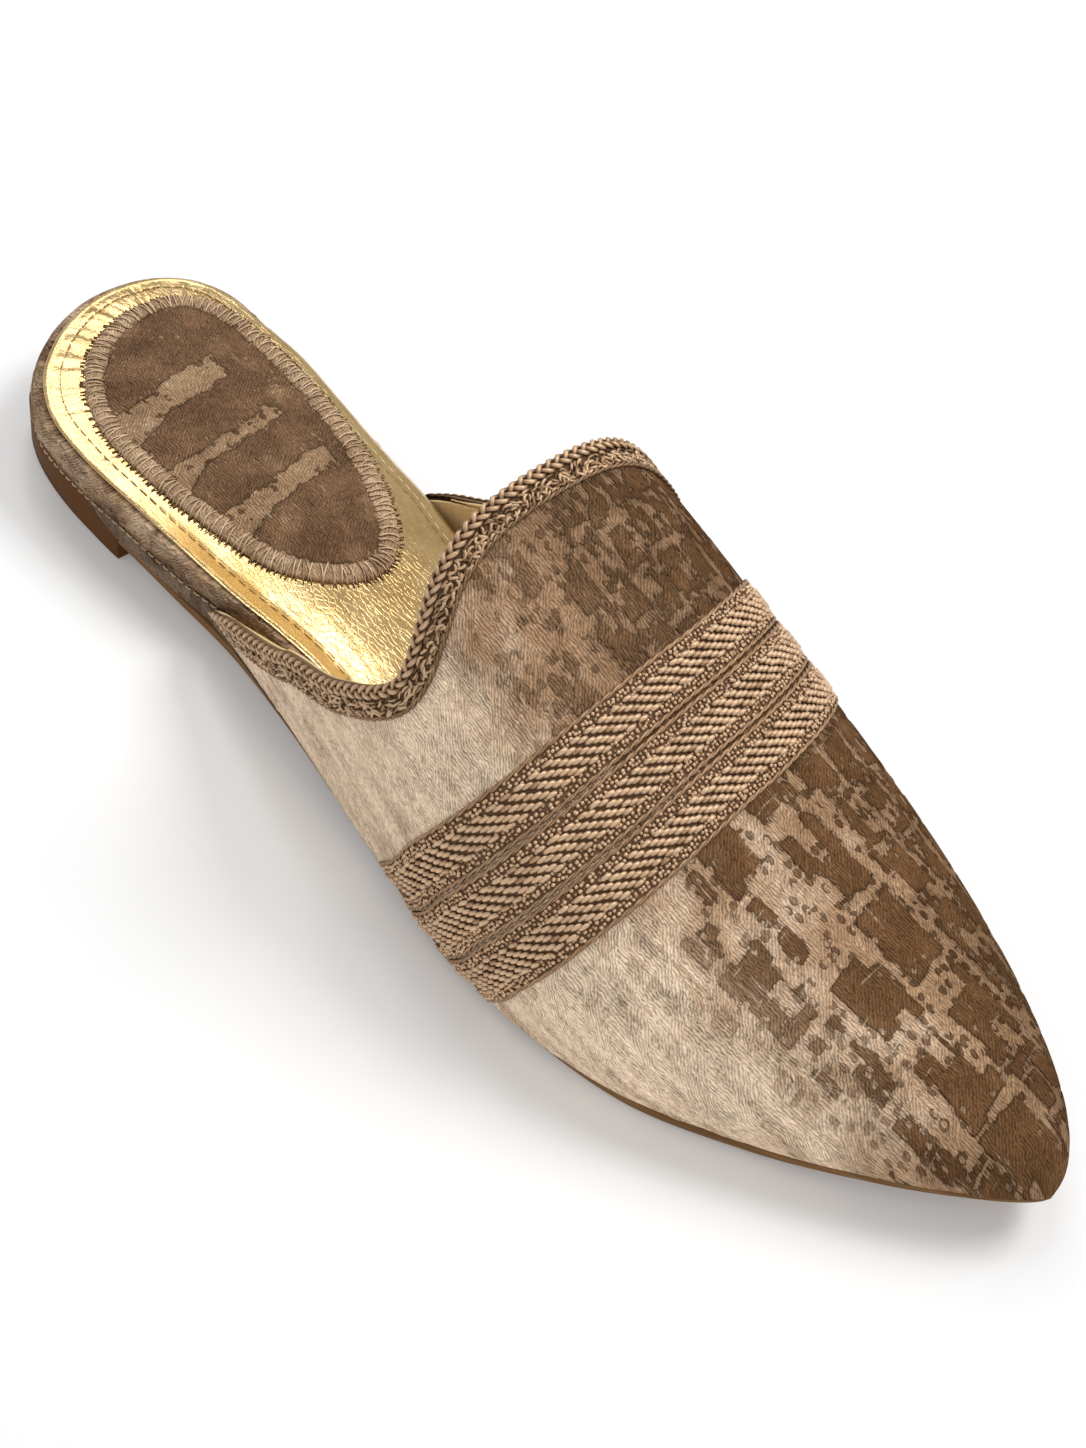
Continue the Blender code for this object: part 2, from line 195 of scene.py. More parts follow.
def curve(knots, values, at):
    """Cubic through the rows, each slope being the mean of its two neighbours' weighted by distance."""
    step = np.diff(knots)
    rise = np.diff(values) / step
    slope = np.empty(len(knots))
    slope[1:-1] = (rise[:-1] * step[1:] + rise[1:] * step[:-1]) / (step[:-1] + step[1:])
    slope[0] = 2 * rise[0] - slope[1]
    slope[-1] = 2 * rise[-1] - slope[-2]
    at = np.clip(at, knots[0], knots[-1])
    row = np.clip(np.searchsorted(knots, at) - 1, 0, len(knots) - 2)
    t = (at - knots[row]) / step[row]
    a, b = values[row], values[row + 1]
    p, q = slope[row] * step[row], slope[row + 1] * step[row]
    return a + t * (p + t * (3 * (b - a) - 2 * p - q + t * (2 * (a - b) + p + q)))


def turn(x, table, first=None):
    """Angle 0 to pi along a table's length, so that widths close in a round end."""
    start = table[0, 0] if first is None else first
    return np.arccos(np.clip(1 - 2 * (x - start) / (table[-1, 0] - start), -1, 1))


def along(table, x, column):
    """A column of a table at each x, smooth in the round-ended angle."""
    return curve(turn(table[:, 0], table), table[:, column], turn(x, table))


def stations(first, last, count):
    """Places between two ends, closer together towards both."""
    return first + (last - first) * (1 - np.cos(np.linspace(0, np.pi, count))) / 2


def thickness(x):
    """Outsole thickness."""
    return OUTSOLE - TOE_PARE * np.clip((x - 225) / 41, 0, 1)


def seat(x):
    """Top of the heel block, then of the outsole: what the midsole lies on."""
    block = np.interp(x, HEEL[:, 0], HEEL[:, 3])
    sole = np.maximum(along(SOLE, x, 3), 0) + thickness(x)
    return np.where(x < SOLE[0, 0], block, sole)


def midsole_top(x):
    """Top of the midsole wedge, which thins to nothing at the ball."""
    over_heel = np.interp(x, [0, 27, 51.5], [10.9, 10.9, 10.8])
    over_sole = seat(x) + np.maximum(along(SOLE, x, 4), 0)
    return np.where(x < SOLE[0, 0], over_heel, over_sole)


def section(x, s):
    """Outer face of the upper: a superellipse around the ridge that tucks under at the sole edge.

    With a = |s| (90 deg + tuck) and q = 2 / FULLNESS, y goes as sin(a)^q and z as cos(a)^q.
    """
    x, s = np.broadcast_arrays(np.asarray(x, float), np.asarray(s, float))
    lateral, medial, instep, ridge, tuck = (along(LAST, x, c) for c in range(1, 6))
    feather = np.minimum(midsole_top(x) + GAP, instep)
    tuck = np.radians(tuck)
    q = 2 / FULLNESS
    a = np.abs(s) * (np.pi / 2 + tuck)
    up = np.sign(np.cos(a)) * np.abs(np.cos(a)) ** q
    low = np.sin(tuck) ** q
    side = np.where(s < 0, -lateral, medial)
    y = ridge + (side - ridge) * np.abs(np.sin(a)) ** q
    z = feather + (instep - feather) * (up + low) / (1 + low)
    return np.stack([x, y, z], -1)


def slopes(x, s):
    """How the outer face moves with x and with s."""
    dx, ds = 0.05, 0.002
    with_x = (section(x + dx, s) - section(x - dx, s)) / (2 * dx)
    with_s = (section(x, np.clip(s + ds, -1, 1)) - section(x, np.clip(s - ds, -1, 1)))
    return with_x, with_s / (np.clip(s + ds, -1, 1) - np.clip(s - ds, -1, 1))[..., None]


def normal(x, s):
    """Outward unit normal of the upper's outer face."""
    with_x, with_s = slopes(*np.broadcast_arrays(np.asarray(x, float), np.asarray(s, float)))
    return unit(np.cross(with_x, with_s))


def walk(x, s, heading, distance, steps=6):
    """Follow the outer face from (x, s) for a distance along a heading in space."""
    for _ in range(steps):
        with_x, with_s = slopes(x, s)
        e = (with_x * with_x).sum(-1)
        f = (with_x * with_s).sum(-1)
        g = (with_s * with_s).sum(-1)
        p = (with_x * heading).sum(-1)
        r = (with_s * heading).sum(-1)
        move_x = (g * p - f * r) / (e * g - f * f)
        move_s = (e * r - f * p) / (e * g - f * f)
        gone = np.linalg.norm(with_x * move_x[..., None] + with_s * move_s[..., None], axis=-1)
        x = x + move_x / gone * distance / steps
        s = np.clip(s + move_s / gone * distance / steps, -1, 1)
    return x, s


def crowd(count):
    """Places across the section from -1 to 1, closer together towards the sole edges."""
    u = np.linspace(-1, 1, count)
    return 0.5 * u + 0.5 * np.sin(np.pi * u / 2)


# Small tools for arrays.

def unit(vectors):
    """Vectors scaled to length one."""
    return vectors / np.maximum(np.linalg.norm(vectors, axis=-1, keepdims=True), 1e-9)


def ease(low, high, value):
    """0 below low, 1 above high and 3t^2 - 2t^3 between."""
    t = np.clip((value - low) / (high - low), 0, 1)
    return t * t * (3 - 2 * t)


def lengths(path):
    """Distance run along a path at each of its points."""
    return np.concatenate([[0], np.cumsum(np.linalg.norm(np.diff(path, axis=0), axis=-1))])


def cloud(u, v, seed):
    """Random heights on a unit lattice, eased between its corners; -0.5 to 0.5."""
    count = 97
    lattice = np.random.default_rng(seed).random((count, count))
    i, j = np.floor(u).astype(int), np.floor(v).astype(int)
    a, b = ease(0, 1, u - i), ease(0, 1, v - j)
    i, next_i, j, next_j = i % count, (i + 1) % count, j % count, (j + 1) % count
    near = lattice[i, j] * (1 - a) + lattice[next_i, j] * a
    far = lattice[i, next_j] * (1 - a) + lattice[next_i, next_j] * a
    return near * (1 - b) + far * b - 0.5


def ragged(u, v, size, seed):
    """Three octaves of cloud, each half as strong as the last, from a size in mm down; about -1 to 1."""
    u, v = u / size, v / size
    coarse = cloud(u, v, seed)
    middle = cloud(2.1 * u, 2.1 * v, seed + 1)
    fine = cloud(4.3 * u, 4.3 * v, seed + 2)
    return 1.6 * (coarse + 0.5 * middle + 0.25 * fine)


def sample(grid, row, column):
    """Bilinear reading of a grid of vectors at fractional rows and columns."""
    row = np.clip(row, 0, grid.shape[0] - 1.001)
    column = np.clip(column, 0, grid.shape[1] - 1.001)
    i, j = row.astype(int), column.astype(int)
    a, b = (row - i)[..., None], (column - j)[..., None]
    near = grid[i, j] * (1 - b) + grid[i, j + 1] * b
    far = grid[i + 1, j] * (1 - b) + grid[i + 1, j + 1] * b
    return near * (1 - a) + far * a


def plan_loop(table, count):
    """Outline of a table's lateral and medial half widths in plan, as evenly spaced points round it."""
    x = stations(table[0, 0], table[-1, 0], 400)
    lateral = np.stack([x, -along(table, x, 1)], -1)
    medial = np.stack([x, along(table, x, 2)], -1)
    loop = np.concatenate([lateral[::-1], medial[1:]])
    run = lengths(loop)
    even = np.linspace(0, run[-1], count, endpoint=False)
    return np.stack([np.interp(even, run, loop[:, k]) for k in range(2)], -1), run[-1]


def inward_of(loop):
    """Unit normals of a closed plan loop that point to its inside."""
    ahead = unit(np.roll(loop, -1, axis=0) - np.roll(loop, 1, axis=0))
    return np.stack([ahead[:, 1], -ahead[:, 0]], -1)


def from_loop(points, loop):
    """Distance of each plan point from the nearest point of a loop, and that point's number."""
    distance, index = [], []
    for part in np.array_split(points, max(1, len(points) // 4000)):
        apart = np.hypot(part[:, None, 0] - loop[:, 0], part[:, None, 1] - loop[:, 1])
        nearest = apart.argmin(axis=1)
        index.append(nearest)
        distance.append(apart[np.arange(len(part)), nearest])
    return np.concatenate(distance), np.concatenate(index)


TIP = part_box("upper")[1][0] * 1000
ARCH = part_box("heel")[1][1] * 1000
SHIFT = np.array([TIP - LAST[-1, 0], ARCH - along(HEEL, np.linspace(0, 51, 500), 2).max(), 0])


# Meshes.

def write(name, points, faces, material, nodes=(), values=None, sharp=None):
    """One mesh at the origin, riding on the slipper, from points on the last and arrays of faces.

    Points that meet are joined, values are held at the points for the material, and edges past the angle
    sharp stay crisp.
    """
    mesh = bpy.data.meshes.new(name)
    mesh.vertices.add(len(points))
    mesh.vertices.foreach_set("co", ((points + SHIFT) / 1000).astype(np.float32).ravel())
    sizes = np.concatenate([np.full(len(f), f.shape[1]) for f in faces])
    corners = np.concatenate([f.ravel() for f in faces])
    mesh.loops.add(len(corners))
    mesh.loops.foreach_set("vertex_index", corners.astype(np.int32))
    mesh.polygons.add(len(sizes))
    mesh.polygons.foreach_set("loop_start", (np.cumsum(sizes) - sizes).astype(np.int32))
    mesh.update(calc_edges=True)
    for label, numbers in (values or {}).items():
        kind, key = ("FLOAT", "value") if numbers.ndim == 1 else ("FLOAT_VECTOR", "vector")
        held = mesh.attributes.new(label, kind, "POINT")
        held.data.foreach_set(key, numbers.astype(np.float32).ravel())
    shell = bmesh.new()
    shell.from_mesh(mesh)
    bmesh.ops.remove_doubles(shell, verts=shell.verts, dist=WELD)
    bmesh.ops.recalc_face_normals(shell, faces=shell.faces)
    shell.to_mesh(mesh)
    shell.free()
    mesh.shade_smooth()
    if sharp:
        mesh.set_sharp_from_angle(angle=math.radians(sharp))
    mesh.materials.append(material)
    piece = bpy.data.objects.new(name, mesh)
    bpy.context.scene.collection.objects.link(piece)
    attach(piece, "root")
    if nodes:
        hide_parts(*nodes)
    return piece


def quads(rows, columns, start=0, closed=False):
    """Four-sided faces of a grid numbered row by row; closed joins the last column to the first."""
    index = start + np.arange(rows * columns).reshape(rows, columns)
    if closed:
        index = np.concatenate([index, index[:, :1]], axis=1)
    return np.stack([index[:-1, :-1], index[:-1, 1:], index[1:, 1:], index[1:, :-1]], -1).reshape(-1, 4)


def loft(rings, flat=(0, -1)):
    """Points and faces of a solid through closed rings, with a face over its flat ends."""
    count, around = rings.shape[:2]
    ends = np.arange(count * around).reshape(count, around)[list(flat)]
    return rings.reshape(-1, 3), [quads(count, around, closed=True), ends]


def ribbon(over, under):
    """Points and faces of a flat tape between the grids of its upper and its under side."""
    return loft(np.concatenate([over, under[:, ::-1]], axis=1))


def cord_frame(paths, ups):
    """Unit vectors beside each path and over it, square to its heading."""
    ahead = unit(np.gradient(paths, axis=1))
    side = unit(np.cross(ahead, ups))
    return side, np.cross(side, ahead)


def cords(paths, ups, radius, sides=6, flat=1.0, level=0.0):
    """Points, faces and lift of round cords: rings of p + r (cos a side + flat sin a up) along each path.

    paths and ups are (cords, points, 3); radius and level are numbers or (cords, points). The lift runs
    from -1 under a cord to 1 on its crest, and level is added to it. The threads' colour follows the lift,
    so it paints shade under each cord and a highlight on its crest.
    """
    count, run = paths.shape[:2]
    side, lift = cord_frame(paths, ups)
    angle = np.linspace(0, 2 * np.pi, sides, endpoint=False)[:, None]
    radius = np.broadcast_to(radius, (count, run))[..., None, None]
    ring = np.cos(angle) * side[:, :, None] + flat * np.sin(angle) * lift[:, :, None]
    points = paths[:, :, None] + radius * ring
    index = np.arange(count * run * sides).reshape(count, run, sides)
    beside = np.roll(index, -1, axis=2)
    skin = np.stack([index[:, :-1], beside[:, :-1], beside[:, 1:], index[:, 1:]], -1).reshape(-1, 4)
    # painted shade and highlight: lift is lowest under a cord and highest on its crest
    crest = np.sin(angle[:, 0]) + np.broadcast_to(level, (count, run))[..., None]
    return points.reshape(-1, 3), [skin, index[:, 0], index[:, -1]], crest.reshape(-1)


def plies(paths, ups, offset, lay, flat=1.0, count=2):
    """Paths of the yarns twisted round each path: p + offset (cos w side + flat sin w up).

    The angle w is 2 pi run / lay, and the yarns share the turn evenly.
    """
    side, lift = cord_frame(paths, ups)
    step = np.linalg.norm(np.diff(paths, axis=1), axis=-1)
    run = np.concatenate([np.zeros((len(paths), 1)), np.cumsum(step, axis=1)], axis=1)
    wound = []
    for number in range(count):
        phase = (2 * np.pi * (run / lay + number / count))[..., None]
        wound.append(paths + offset * (np.cos(phase) * side + flat * np.sin(phase) * lift))
    return np.concatenate(wound), np.concatenate([ups] * count)


def write_cords(name, parts, material):
    """Several lots of cords as one mesh, with their lift for painted crest highlights and crevice shade.
    """
    points, faces, start = [], [], 0
    for some, polygons, _ in parts:
        points.append(some)
        faces += [f + start for f in polygons]
        start += len(some)
    # lift per point: painted shade in crevices, painted highlight on crests
    lift = np.concatenate([part[2] for part in parts])
    return write(name, np.concatenate(points), faces, material, values={"lift": lift})


# Materials.

class Field:
    """A shader value in Python arithmetic: each operator adds one Math node."""

    def __init__(self, paint, socket):
        self.paint, self.socket = paint, socket

    def math(self, operation, first, second):
        """One Math node on two values."""
        return self.paint.node("ShaderNodeMath", {"operation": operation}, {0: first, 1: second})

    def most(self, other):
        """The larger of two values."""
        return self.math("MAXIMUM", self, other)

    def __add__(self, other):
        return self.math("ADD", self, other)

    def __sub__(self, other):
        return self.math("SUBTRACT", self, other)

    def __rsub__(self, other):
        return self.math("SUBTRACT", other, self)

    def __mul__(self, other):
        return self.math("MULTIPLY", self, other)

    __radd__, __rmul__ = __add__, __mul__


class Paint:
    """A Principled material: its constant sockets are set by name, and fields feed the ones that vary."""

    def __init__(self, name, **constants):
        self.material = bpy.data.materials.new(name)
        self.material.use_nodes = True
        self.tree = self.material.node_tree
        self.shader = self.tree.nodes["Principled BSDF"]
        for label, value in constants.items():
            self.shader.inputs[label.replace("_", " ")].default_value = value

    def node(self, kind, settings=None, sockets=None, output=0):
        """Any node: its settings first, then its sockets' values or links. Returns one of its outputs."""
        made = self.tree.nodes.new(kind)
        for label, value in (settings or {}).items():
            if label == "stops":
                for _ in range(len(value) - 2):
                    made.color_ramp.elements.new(0.5)
                for element, (place, colour) in zip(made.color_ramp.elements, value):
                    element.position, element.color = place, (*colour, 1)
            else:
                setattr(made, label, value)
        for label, value in (sockets or {}).items():
            self.feed(made.inputs[label], value)
        return Field(self, made.outputs[output])

    def feed(self, socket, value):
        """A link from a field, or a plain value."""
        if isinstance(value, Field):
            self.tree.links.new(value.socket, socket)
        else:
            socket.default_value = value

    def place(self):
        """Object coordinates, in metres."""
        return self.node("ShaderNodeTexCoord", output="Object")

    def value(self, label, output="Fac"):
        """A number, or a vector, that the mesh holds at each of its points."""
        return self.node("ShaderNodeAttribute", {"attribute_name": label}, output=output)

    def mapped(self, on, scale=(1, 1, 1), turned=(0, 0, 0)):
        """Coordinates scaled along turned axes."""
        return self.node("ShaderNodeMapping", {"vector_type": "POINT"},
                         {"Vector": on, "Rotation": turned, "Scale": scale})

    def noise(self, size, detail=2.0, stretch=(1, 1, 1), turned=(0, 0, 0), warp=0.0, on=None):
        """Noise of a size in mm on Object or other coordinates, stretched along turned axes; 0 to 1."""
        at = self.mapped(on or self.place(), tuple(1000 / size / k for k in stretch), turned)
        return self.node("ShaderNodeTexNoise", {},
                         {"Vector": at, "Scale": 1.0, "Detail": detail, "Distortion": warp})

    def step(self, field, low, high):
        """0 below low, 1 above high, smooth between."""
        return self.node("ShaderNodeMapRange", {"interpolation_type": "SMOOTHSTEP"},
                         {"Value": field, "From Min": low, "From Max": high})

    def ramp(self, share, *stops):
        """A colour between stops of place and colour."""
        return self.node("ShaderNodeValToRGB", {"stops": stops}, {"Fac": share})

    def mix(self, share, first, second):
        """Colours mixed by a share."""
        first = first if isinstance(first, Field) else (*first, 1)
        second = second if isinstance(second, Field) else (*second, 1)
        return self.node("ShaderNodeMix", {"data_type": "RGBA"}, {0: share, 6: first, 7: second}, 2)

    def shaded(self, colour, amount):
        """A colour made darker or lighter by an amount around 1."""
        grey = self.node("ShaderNodeCombineColor", {}, {0: amount, 1: amount, 2: amount})
        return self.node("ShaderNodeMix", {"data_type": "RGBA", "blend_type": "MULTIPLY"},
                         {0: 1.0, 6: colour, 7: grey}, 2)

    def relief(self, height, depth):
        """Bump from a height of 0 to 1 that stands for a depth in mm."""
        return self.node("ShaderNodeBump", {},
                         {"Height": height, "Distance": depth / 1000, "Strength": 1.0})

    def finish(self, **fields):
        """Feed the sockets that vary and hand over the material."""
        for label, field in fields.items():
            self.feed(self.shader.inputs[label.replace("_", " ")], field)
        return self.material


def dots(paint, cloth, size, radius, share):
    """Round dots, one in each cell of a random net of a size in mm; a share of the cells keeps its dot."""
    longer = 1.3
    net = paint.mapped(cloth, (1000 / size / longer, 1000 / size, 1))
    far = paint.node("ShaderNodeTexVoronoi", {"voronoi_dimensions": "2D"},
                     {"Vector": net, "Scale": 1.0, "Randomness": 0.85})
    lot = paint.node("ShaderNodeSeparateColor", {}, {0: Field(paint, far.socket.node.outputs["Color"])})
    return paint.step(radius - far, -0.04, 0.04) * paint.step(share - lot, 0.0, 0.03)


def ribs(paint, cloth):
    """Fine wavy ribs across the cloth; 0 to 1."""
    waves = {"Scale": 100 * math.pi / RIB_PITCH, "Distortion": 6.5, "Detail": 2.0, "Detail Scale": 1.5}
    return paint.node("ShaderNodeTexWave", {"bands_direction": "Y"}, {"Vector": cloth, **waves}, "Fac")


def velvet(name, dark, shade, ground, pale):
    """Worn velvet: the mesh says how deep in pile a point is, its fade and shade, and where on the cloth.

    Round tufts are left outside the edge of the pile, round holes are worn inside it, and thin worn lines
    run along and across the cloth. Ground and pile both carry fine wavy ribs, whose direction changes by
    patches. Low fade values paint shade, with a darker ground and a darker tone overall, and painted shade
    lines the pile's edge on both sides.
    """
    paint = Paint(name, Specular_IOR_Level=0.0, Sheen_Weight=0.02, Sheen_Roughness=0.4,
                  Sheen_Tint=(0.9, 0.60, 0.36, 1))
    depth, bleach, cloth = paint.value("pile"), paint.value("bleach"), paint.value("cloth", "Vector")
    fray = paint.noise(0.55, 2.0, on=cloth)
    nap = paint.noise(1.5, 3.0, on=cloth)
    mottle = paint.noise(9, 3.0, on=cloth)
    patch = paint.step(paint.noise(6, 1.0, on=cloth), 0.47, 0.53)
    rib = ribs(paint, cloth) * patch + ribs(paint, paint.mapped(cloth, turned=(0, 0, 0.9))) * (1 - patch)
    smear = paint.noise(4, 2.0, (3, 1, 1), (0, 0, 0.4), 0.3, cloth)
    hair = paint.noise(0.38, 2.0, (2.2, 1, 1), (0, 0, 0.8), 0.5, cloth)
    lengthwise = paint.noise(1.1, 2.0, (8, 1, 1), (0, 0, 0), 0.2, cloth)
    crosswise = paint.noise(1.1, 2.0, (1, 8, 1), (0, 0, 0), 0.2, cloth)
    edge = depth + (fray - 0.5) * 0.45
    tufts = dots(paint, cloth, 1.9, 0.36, 0.6 + depth * 0.19) * (1 - paint.step(bleach, 0.3, 0.9) * 0.6)
    worn_line = paint.step(lengthwise.most(crosswise), 0.65, 0.70)
    standing = paint.step(edge, -0.08, 0.08).most(tufts)
    standing = standing * (1 - dots(paint, cloth, 1.5, 0.34, 0.42 - depth * 0.2)) * (1 - worn_line * 0.6)
    standing = standing * paint.value("contrast") * (1 - paint.step(bleach, 0.55, 0.95) * 0.6)
    # painted shade along the pile's edge: inner darkens the pile towards its edge, outer darkens the
    # ground just outside it
    inner = paint.step(edge, 0.0, 0.7)
    outer = paint.step(edge, -0.6, 0.0) * (1 - standing) * (1 - paint.step(bleach, 0.4, 0.9) * 0.8)
    # ground colour: painted shade at low values, the ground in the middle, the pale colour, partly painted
    # sheen, at high values
    ground_fade_and_shade = bleach + (mottle - 0.5) * 0.8 + worn_line * 0.12
    worn = paint.ramp(ground_fade_and_shade, (0, shade), (0.5, ground), (1, pale))
    tuft = paint.mix(paint.step(mottle, 0.4, 0.68), dark, tuple(1.45 * c for c in dark))
    faded = tuple(share * c for share, c in zip((0.70, 0.58, 0.47), pale))
    tuft = paint.mix(paint.step(bleach, 0.6, 0.92), tuft, faded)
    # painted shade at the pile's edge, on the pile here and on the ground in the next line
    tuft = paint.shaded(tuft, inner * 0.35 + 0.65)
    grain = (rib - 0.5) * 0.55 + (hair - 0.5) * 1.4 + (nap - 0.5) * 0.8 - outer * 0.35
    grain = grain + (smear - 0.5) * paint.step(bleach, 0.45, 0.85)
    # painted shade: the whole colour is darker where the fade value is low, on the medial side and under
    # the roll
    tone = (grain + 1.0) * (0.66 + 0.34 * paint.step(bleach, 0.1, 0.5))
    colour = paint.shaded(paint.mix(standing, worn, tuft), tone)
    height = standing * 0.66 + rib * 0.18 + hair * 0.16
    return paint.finish(Base_Color=colour, Roughness=0.92 - standing * 0.15,
                        Normal=paint.relief(height, 0.65))


def thread(name, dark, body, crest, rough=0.36, satin=0.45):
    """Satin thread: painted shade in the crevices, a painted highlight on the crests, finely fibred;
    satin tints its glints.
    """
    paint = Paint(name, Specular_IOR_Level=0.15, Metallic=satin)
    fibre = paint.noise(0.2, 2.0, (1, 1, 3), (0.7, 0.3, 0.9))
    tone = paint.noise(2.6, 2.0)
    lift = paint.value("lift") * 0.5 + (fibre - 0.5) * 0.5 + (tone - 0.5) * 0.4 + 0.5
    # painted shade where the lift is low and painted highlight where it is high
    colour = paint.ramp(lift, (0.1, dark), (0.6, body), (1.0, crest))
    return paint.finish(Base_Color=colour, Roughness=rough + fibre * 0.2, Normal=paint.relief(fibre, 0.05))


def gold_leather(name, metal, low, high):
    """Foiled leather: bright metal in fine cells, and a strip of painted shade where the mesh marks it:
    amber in colour, smoother and less glossy.
    """
    paint = Paint(name, Metallic=metal, Coat_Roughness=0.2, Coat_Weight=0.15)
    rub = paint.noise(9, 3.0)
    skin = paint.mapped(paint.place(), (1000 / 1.8, 1000 / 0.9, 1000 / 0.9), (0, 0, 0.5))
    crack = paint.node("ShaderNodeTexVoronoi", {"feature": "DISTANCE_TO_EDGE"},
                       {"Vector": skin, "Scale": 1.0})
    cell = paint.step(crack, 0.0, 0.12)
    grain = paint.noise(1.6, 2.0, warp=0.4)
    # painted shade: the marked strip is darkened to amber, with a rougher, smoother finish
    dull = paint.value("dull")
    amber = tuple(share * c for share, c in zip((0.58, 0.5, 0.3), low))
    colour = paint.mix(dull, paint.mix(paint.step(rub, 0.3, 0.75), low, high), amber)
    colour = paint.shaded(colour, cell * 0.12 + 0.88)
    height = (cell * 0.3 + grain * 0.7) * (1 - dull * 0.75)
    return paint.finish(Base_Color=colour, Roughness=0.13 + rub * 0.1 + dull * 0.2,
                        Normal=paint.relief(height, 0.045))


def sole_leather(name, dark, light, rough):
    """Smooth leather: a slow cloud of tone, faint lines along the layers and fine pores."""
    paint = Paint(name, Specular_IOR_Level=0.02)
    tone = paint.noise(8, 3.0, (3, 3, 1))
    line = paint.noise(0.7, 1.0, (30, 30, 1))
    pore = paint.noise(0.35, 2.0)
    colour = paint.mix(paint.step(tone * 0.6 + line * 0.4, 0.3, 0.7), dark, light)
    return paint.finish(Base_Color=colour, Roughness=rough + pore * 0.15,
                        Normal=paint.relief(line * 0.5 + pore * 0.5, 0.06))


def pale_floor(name):
    """A plain pale sheet with the faintest tooth."""
    paint = Paint(name, Roughness=0.9, Specular_IOR_Level=0.1,
                  Emission_Color=(1, 1, 1, 1), Emission_Strength=0.12)
    return paint.finish(Base_Color=paint.mix(paint.noise(30, 2.0), (0.88, 0.88, 0.88), (0.90, 0.90, 0.90)))


# Worn pattern of the velvet.

def blocks(u, w, length, width, channel, seed):
    """Depth in mm into the blocks of an uneven brick lattice, and each block's own lot from 0 to 1."""
    lots = 211
    rng = np.random.default_rng(seed)
    row = np.floor(w / width).astype(int)
    slid = u + rng.random(lots)[row % lots] * length
    column = np.floor(slid / length).astype(int)
    inset = 0.5 - np.abs(np.stack([slid / length - column, w / width - row]) - 0.5)
    depth = np.minimum(inset[0] * length, inset[1] * width) - channel / 2
    return depth, rng.random((lots, lots))[row % lots, column % lots]


def pile_depth(u, w, cover, size=1.0, seed=0):
    """Depth in mm into standing pile at (u, w): kept blocks of two sizes, less chips and bites."""
    bent_u = u + 0.4 * ragged(u, w, 9, seed + 11)
    bent_w = w + 0.4 * ragged(u, w, 9, seed + 21)
    large, lot = blocks(bent_u, bent_w, 17 * size, 12.5 * size, 2.8 * size, seed + 5)
    small, small_lot = blocks(bent_u + 40, bent_w + 13, 7 * size, 4.6 * size, 1.2 * size, seed + 7)
    chip, chip_lot = blocks(bent_u + 3, bent_w + 29, 6 * size, 4 * size, 0.5 * size, seed + 9)
    depth = np.minimum(large, (cover - lot) * 8)
    broken = np.minimum(np.minimum(small, large + 0.6), (0.8 * cover - small_lot) * 5)
    depth = np.maximum(depth, broken)
    depth = np.where(chip_lot < 0.22, np.minimum(depth, -chip), depth)
    bitten = 0.7 * np.maximum(ragged(u, w, 5, seed + 31), 0)
    depth = depth - bitten + 0.25 * ragged(u, w, 2.0, seed + 41)
    return np.clip(depth, -3, 3)


# Pieces.

def cloth_place(along_cloth, across_cloth):
    """Places on the cloth, in metres, for the grain of its material."""
    return np.stack([along_cloth, across_cloth, 0 * along_cloth], -1) / 1000


def upper_shell(outside, inside, fine):
    """Faces of an open-bottomed shell of two grids, each drawn together at a pole at the toe's tip.

    The inner grid has one point for every fine points of the outer one, each way.
    """
    rows, columns = outside.shape[:2]
    low_rows, low_columns = inside.shape[:2]
    o = np.arange(rows * columns).reshape(rows, columns)
    i = rows * columns + np.arange(low_rows * low_columns).reshape(low_rows, low_columns)
    poles = rows * columns + low_rows * low_columns + np.arange(2)
    faces = [quads(rows, columns), quads(low_rows, low_columns, rows * columns)]
    rims = ((o[0], i[0]), (o[:, 0], i[:, 0]), (o[:, -1], i[:, -1]))
    for outer, inner in rims:
        steps = np.arange(len(inner) - 1)[:, None] * fine + np.arange(fine + 1)
        faces.append(np.concatenate([outer[steps], inner[1:, None], inner[:-1, None]], axis=1))
    for sheet, pole in ((o, poles[0]), (i, poles[1])):
        last = sheet[-1]
        faces.append(np.stack([last[:-1], last[1:], np.full(len(last) - 1, pole)], -1))
    for side in (0, -1):
        faces.append(np.array([[o[-1, side], poles[0], poles[1], i[-1, side]]]))
    return faces


def upper_grid(across, rows):
    """Places (x, s) over the upper, from the topline to just short of the toe's tip."""
    s = crowd(across)
    start = turn(curve(TOPLINE[:, 0], TOPLINE[:, 1], s), LAST, 0)
    angle = start + (np.pi - start) * np.linspace(0, 1, rows + 1)[:-1, None]
    x = LAST[-1, 0] * (1 - np.cos(angle)) / 2
    return x, np.broadcast_to(s, x.shape)


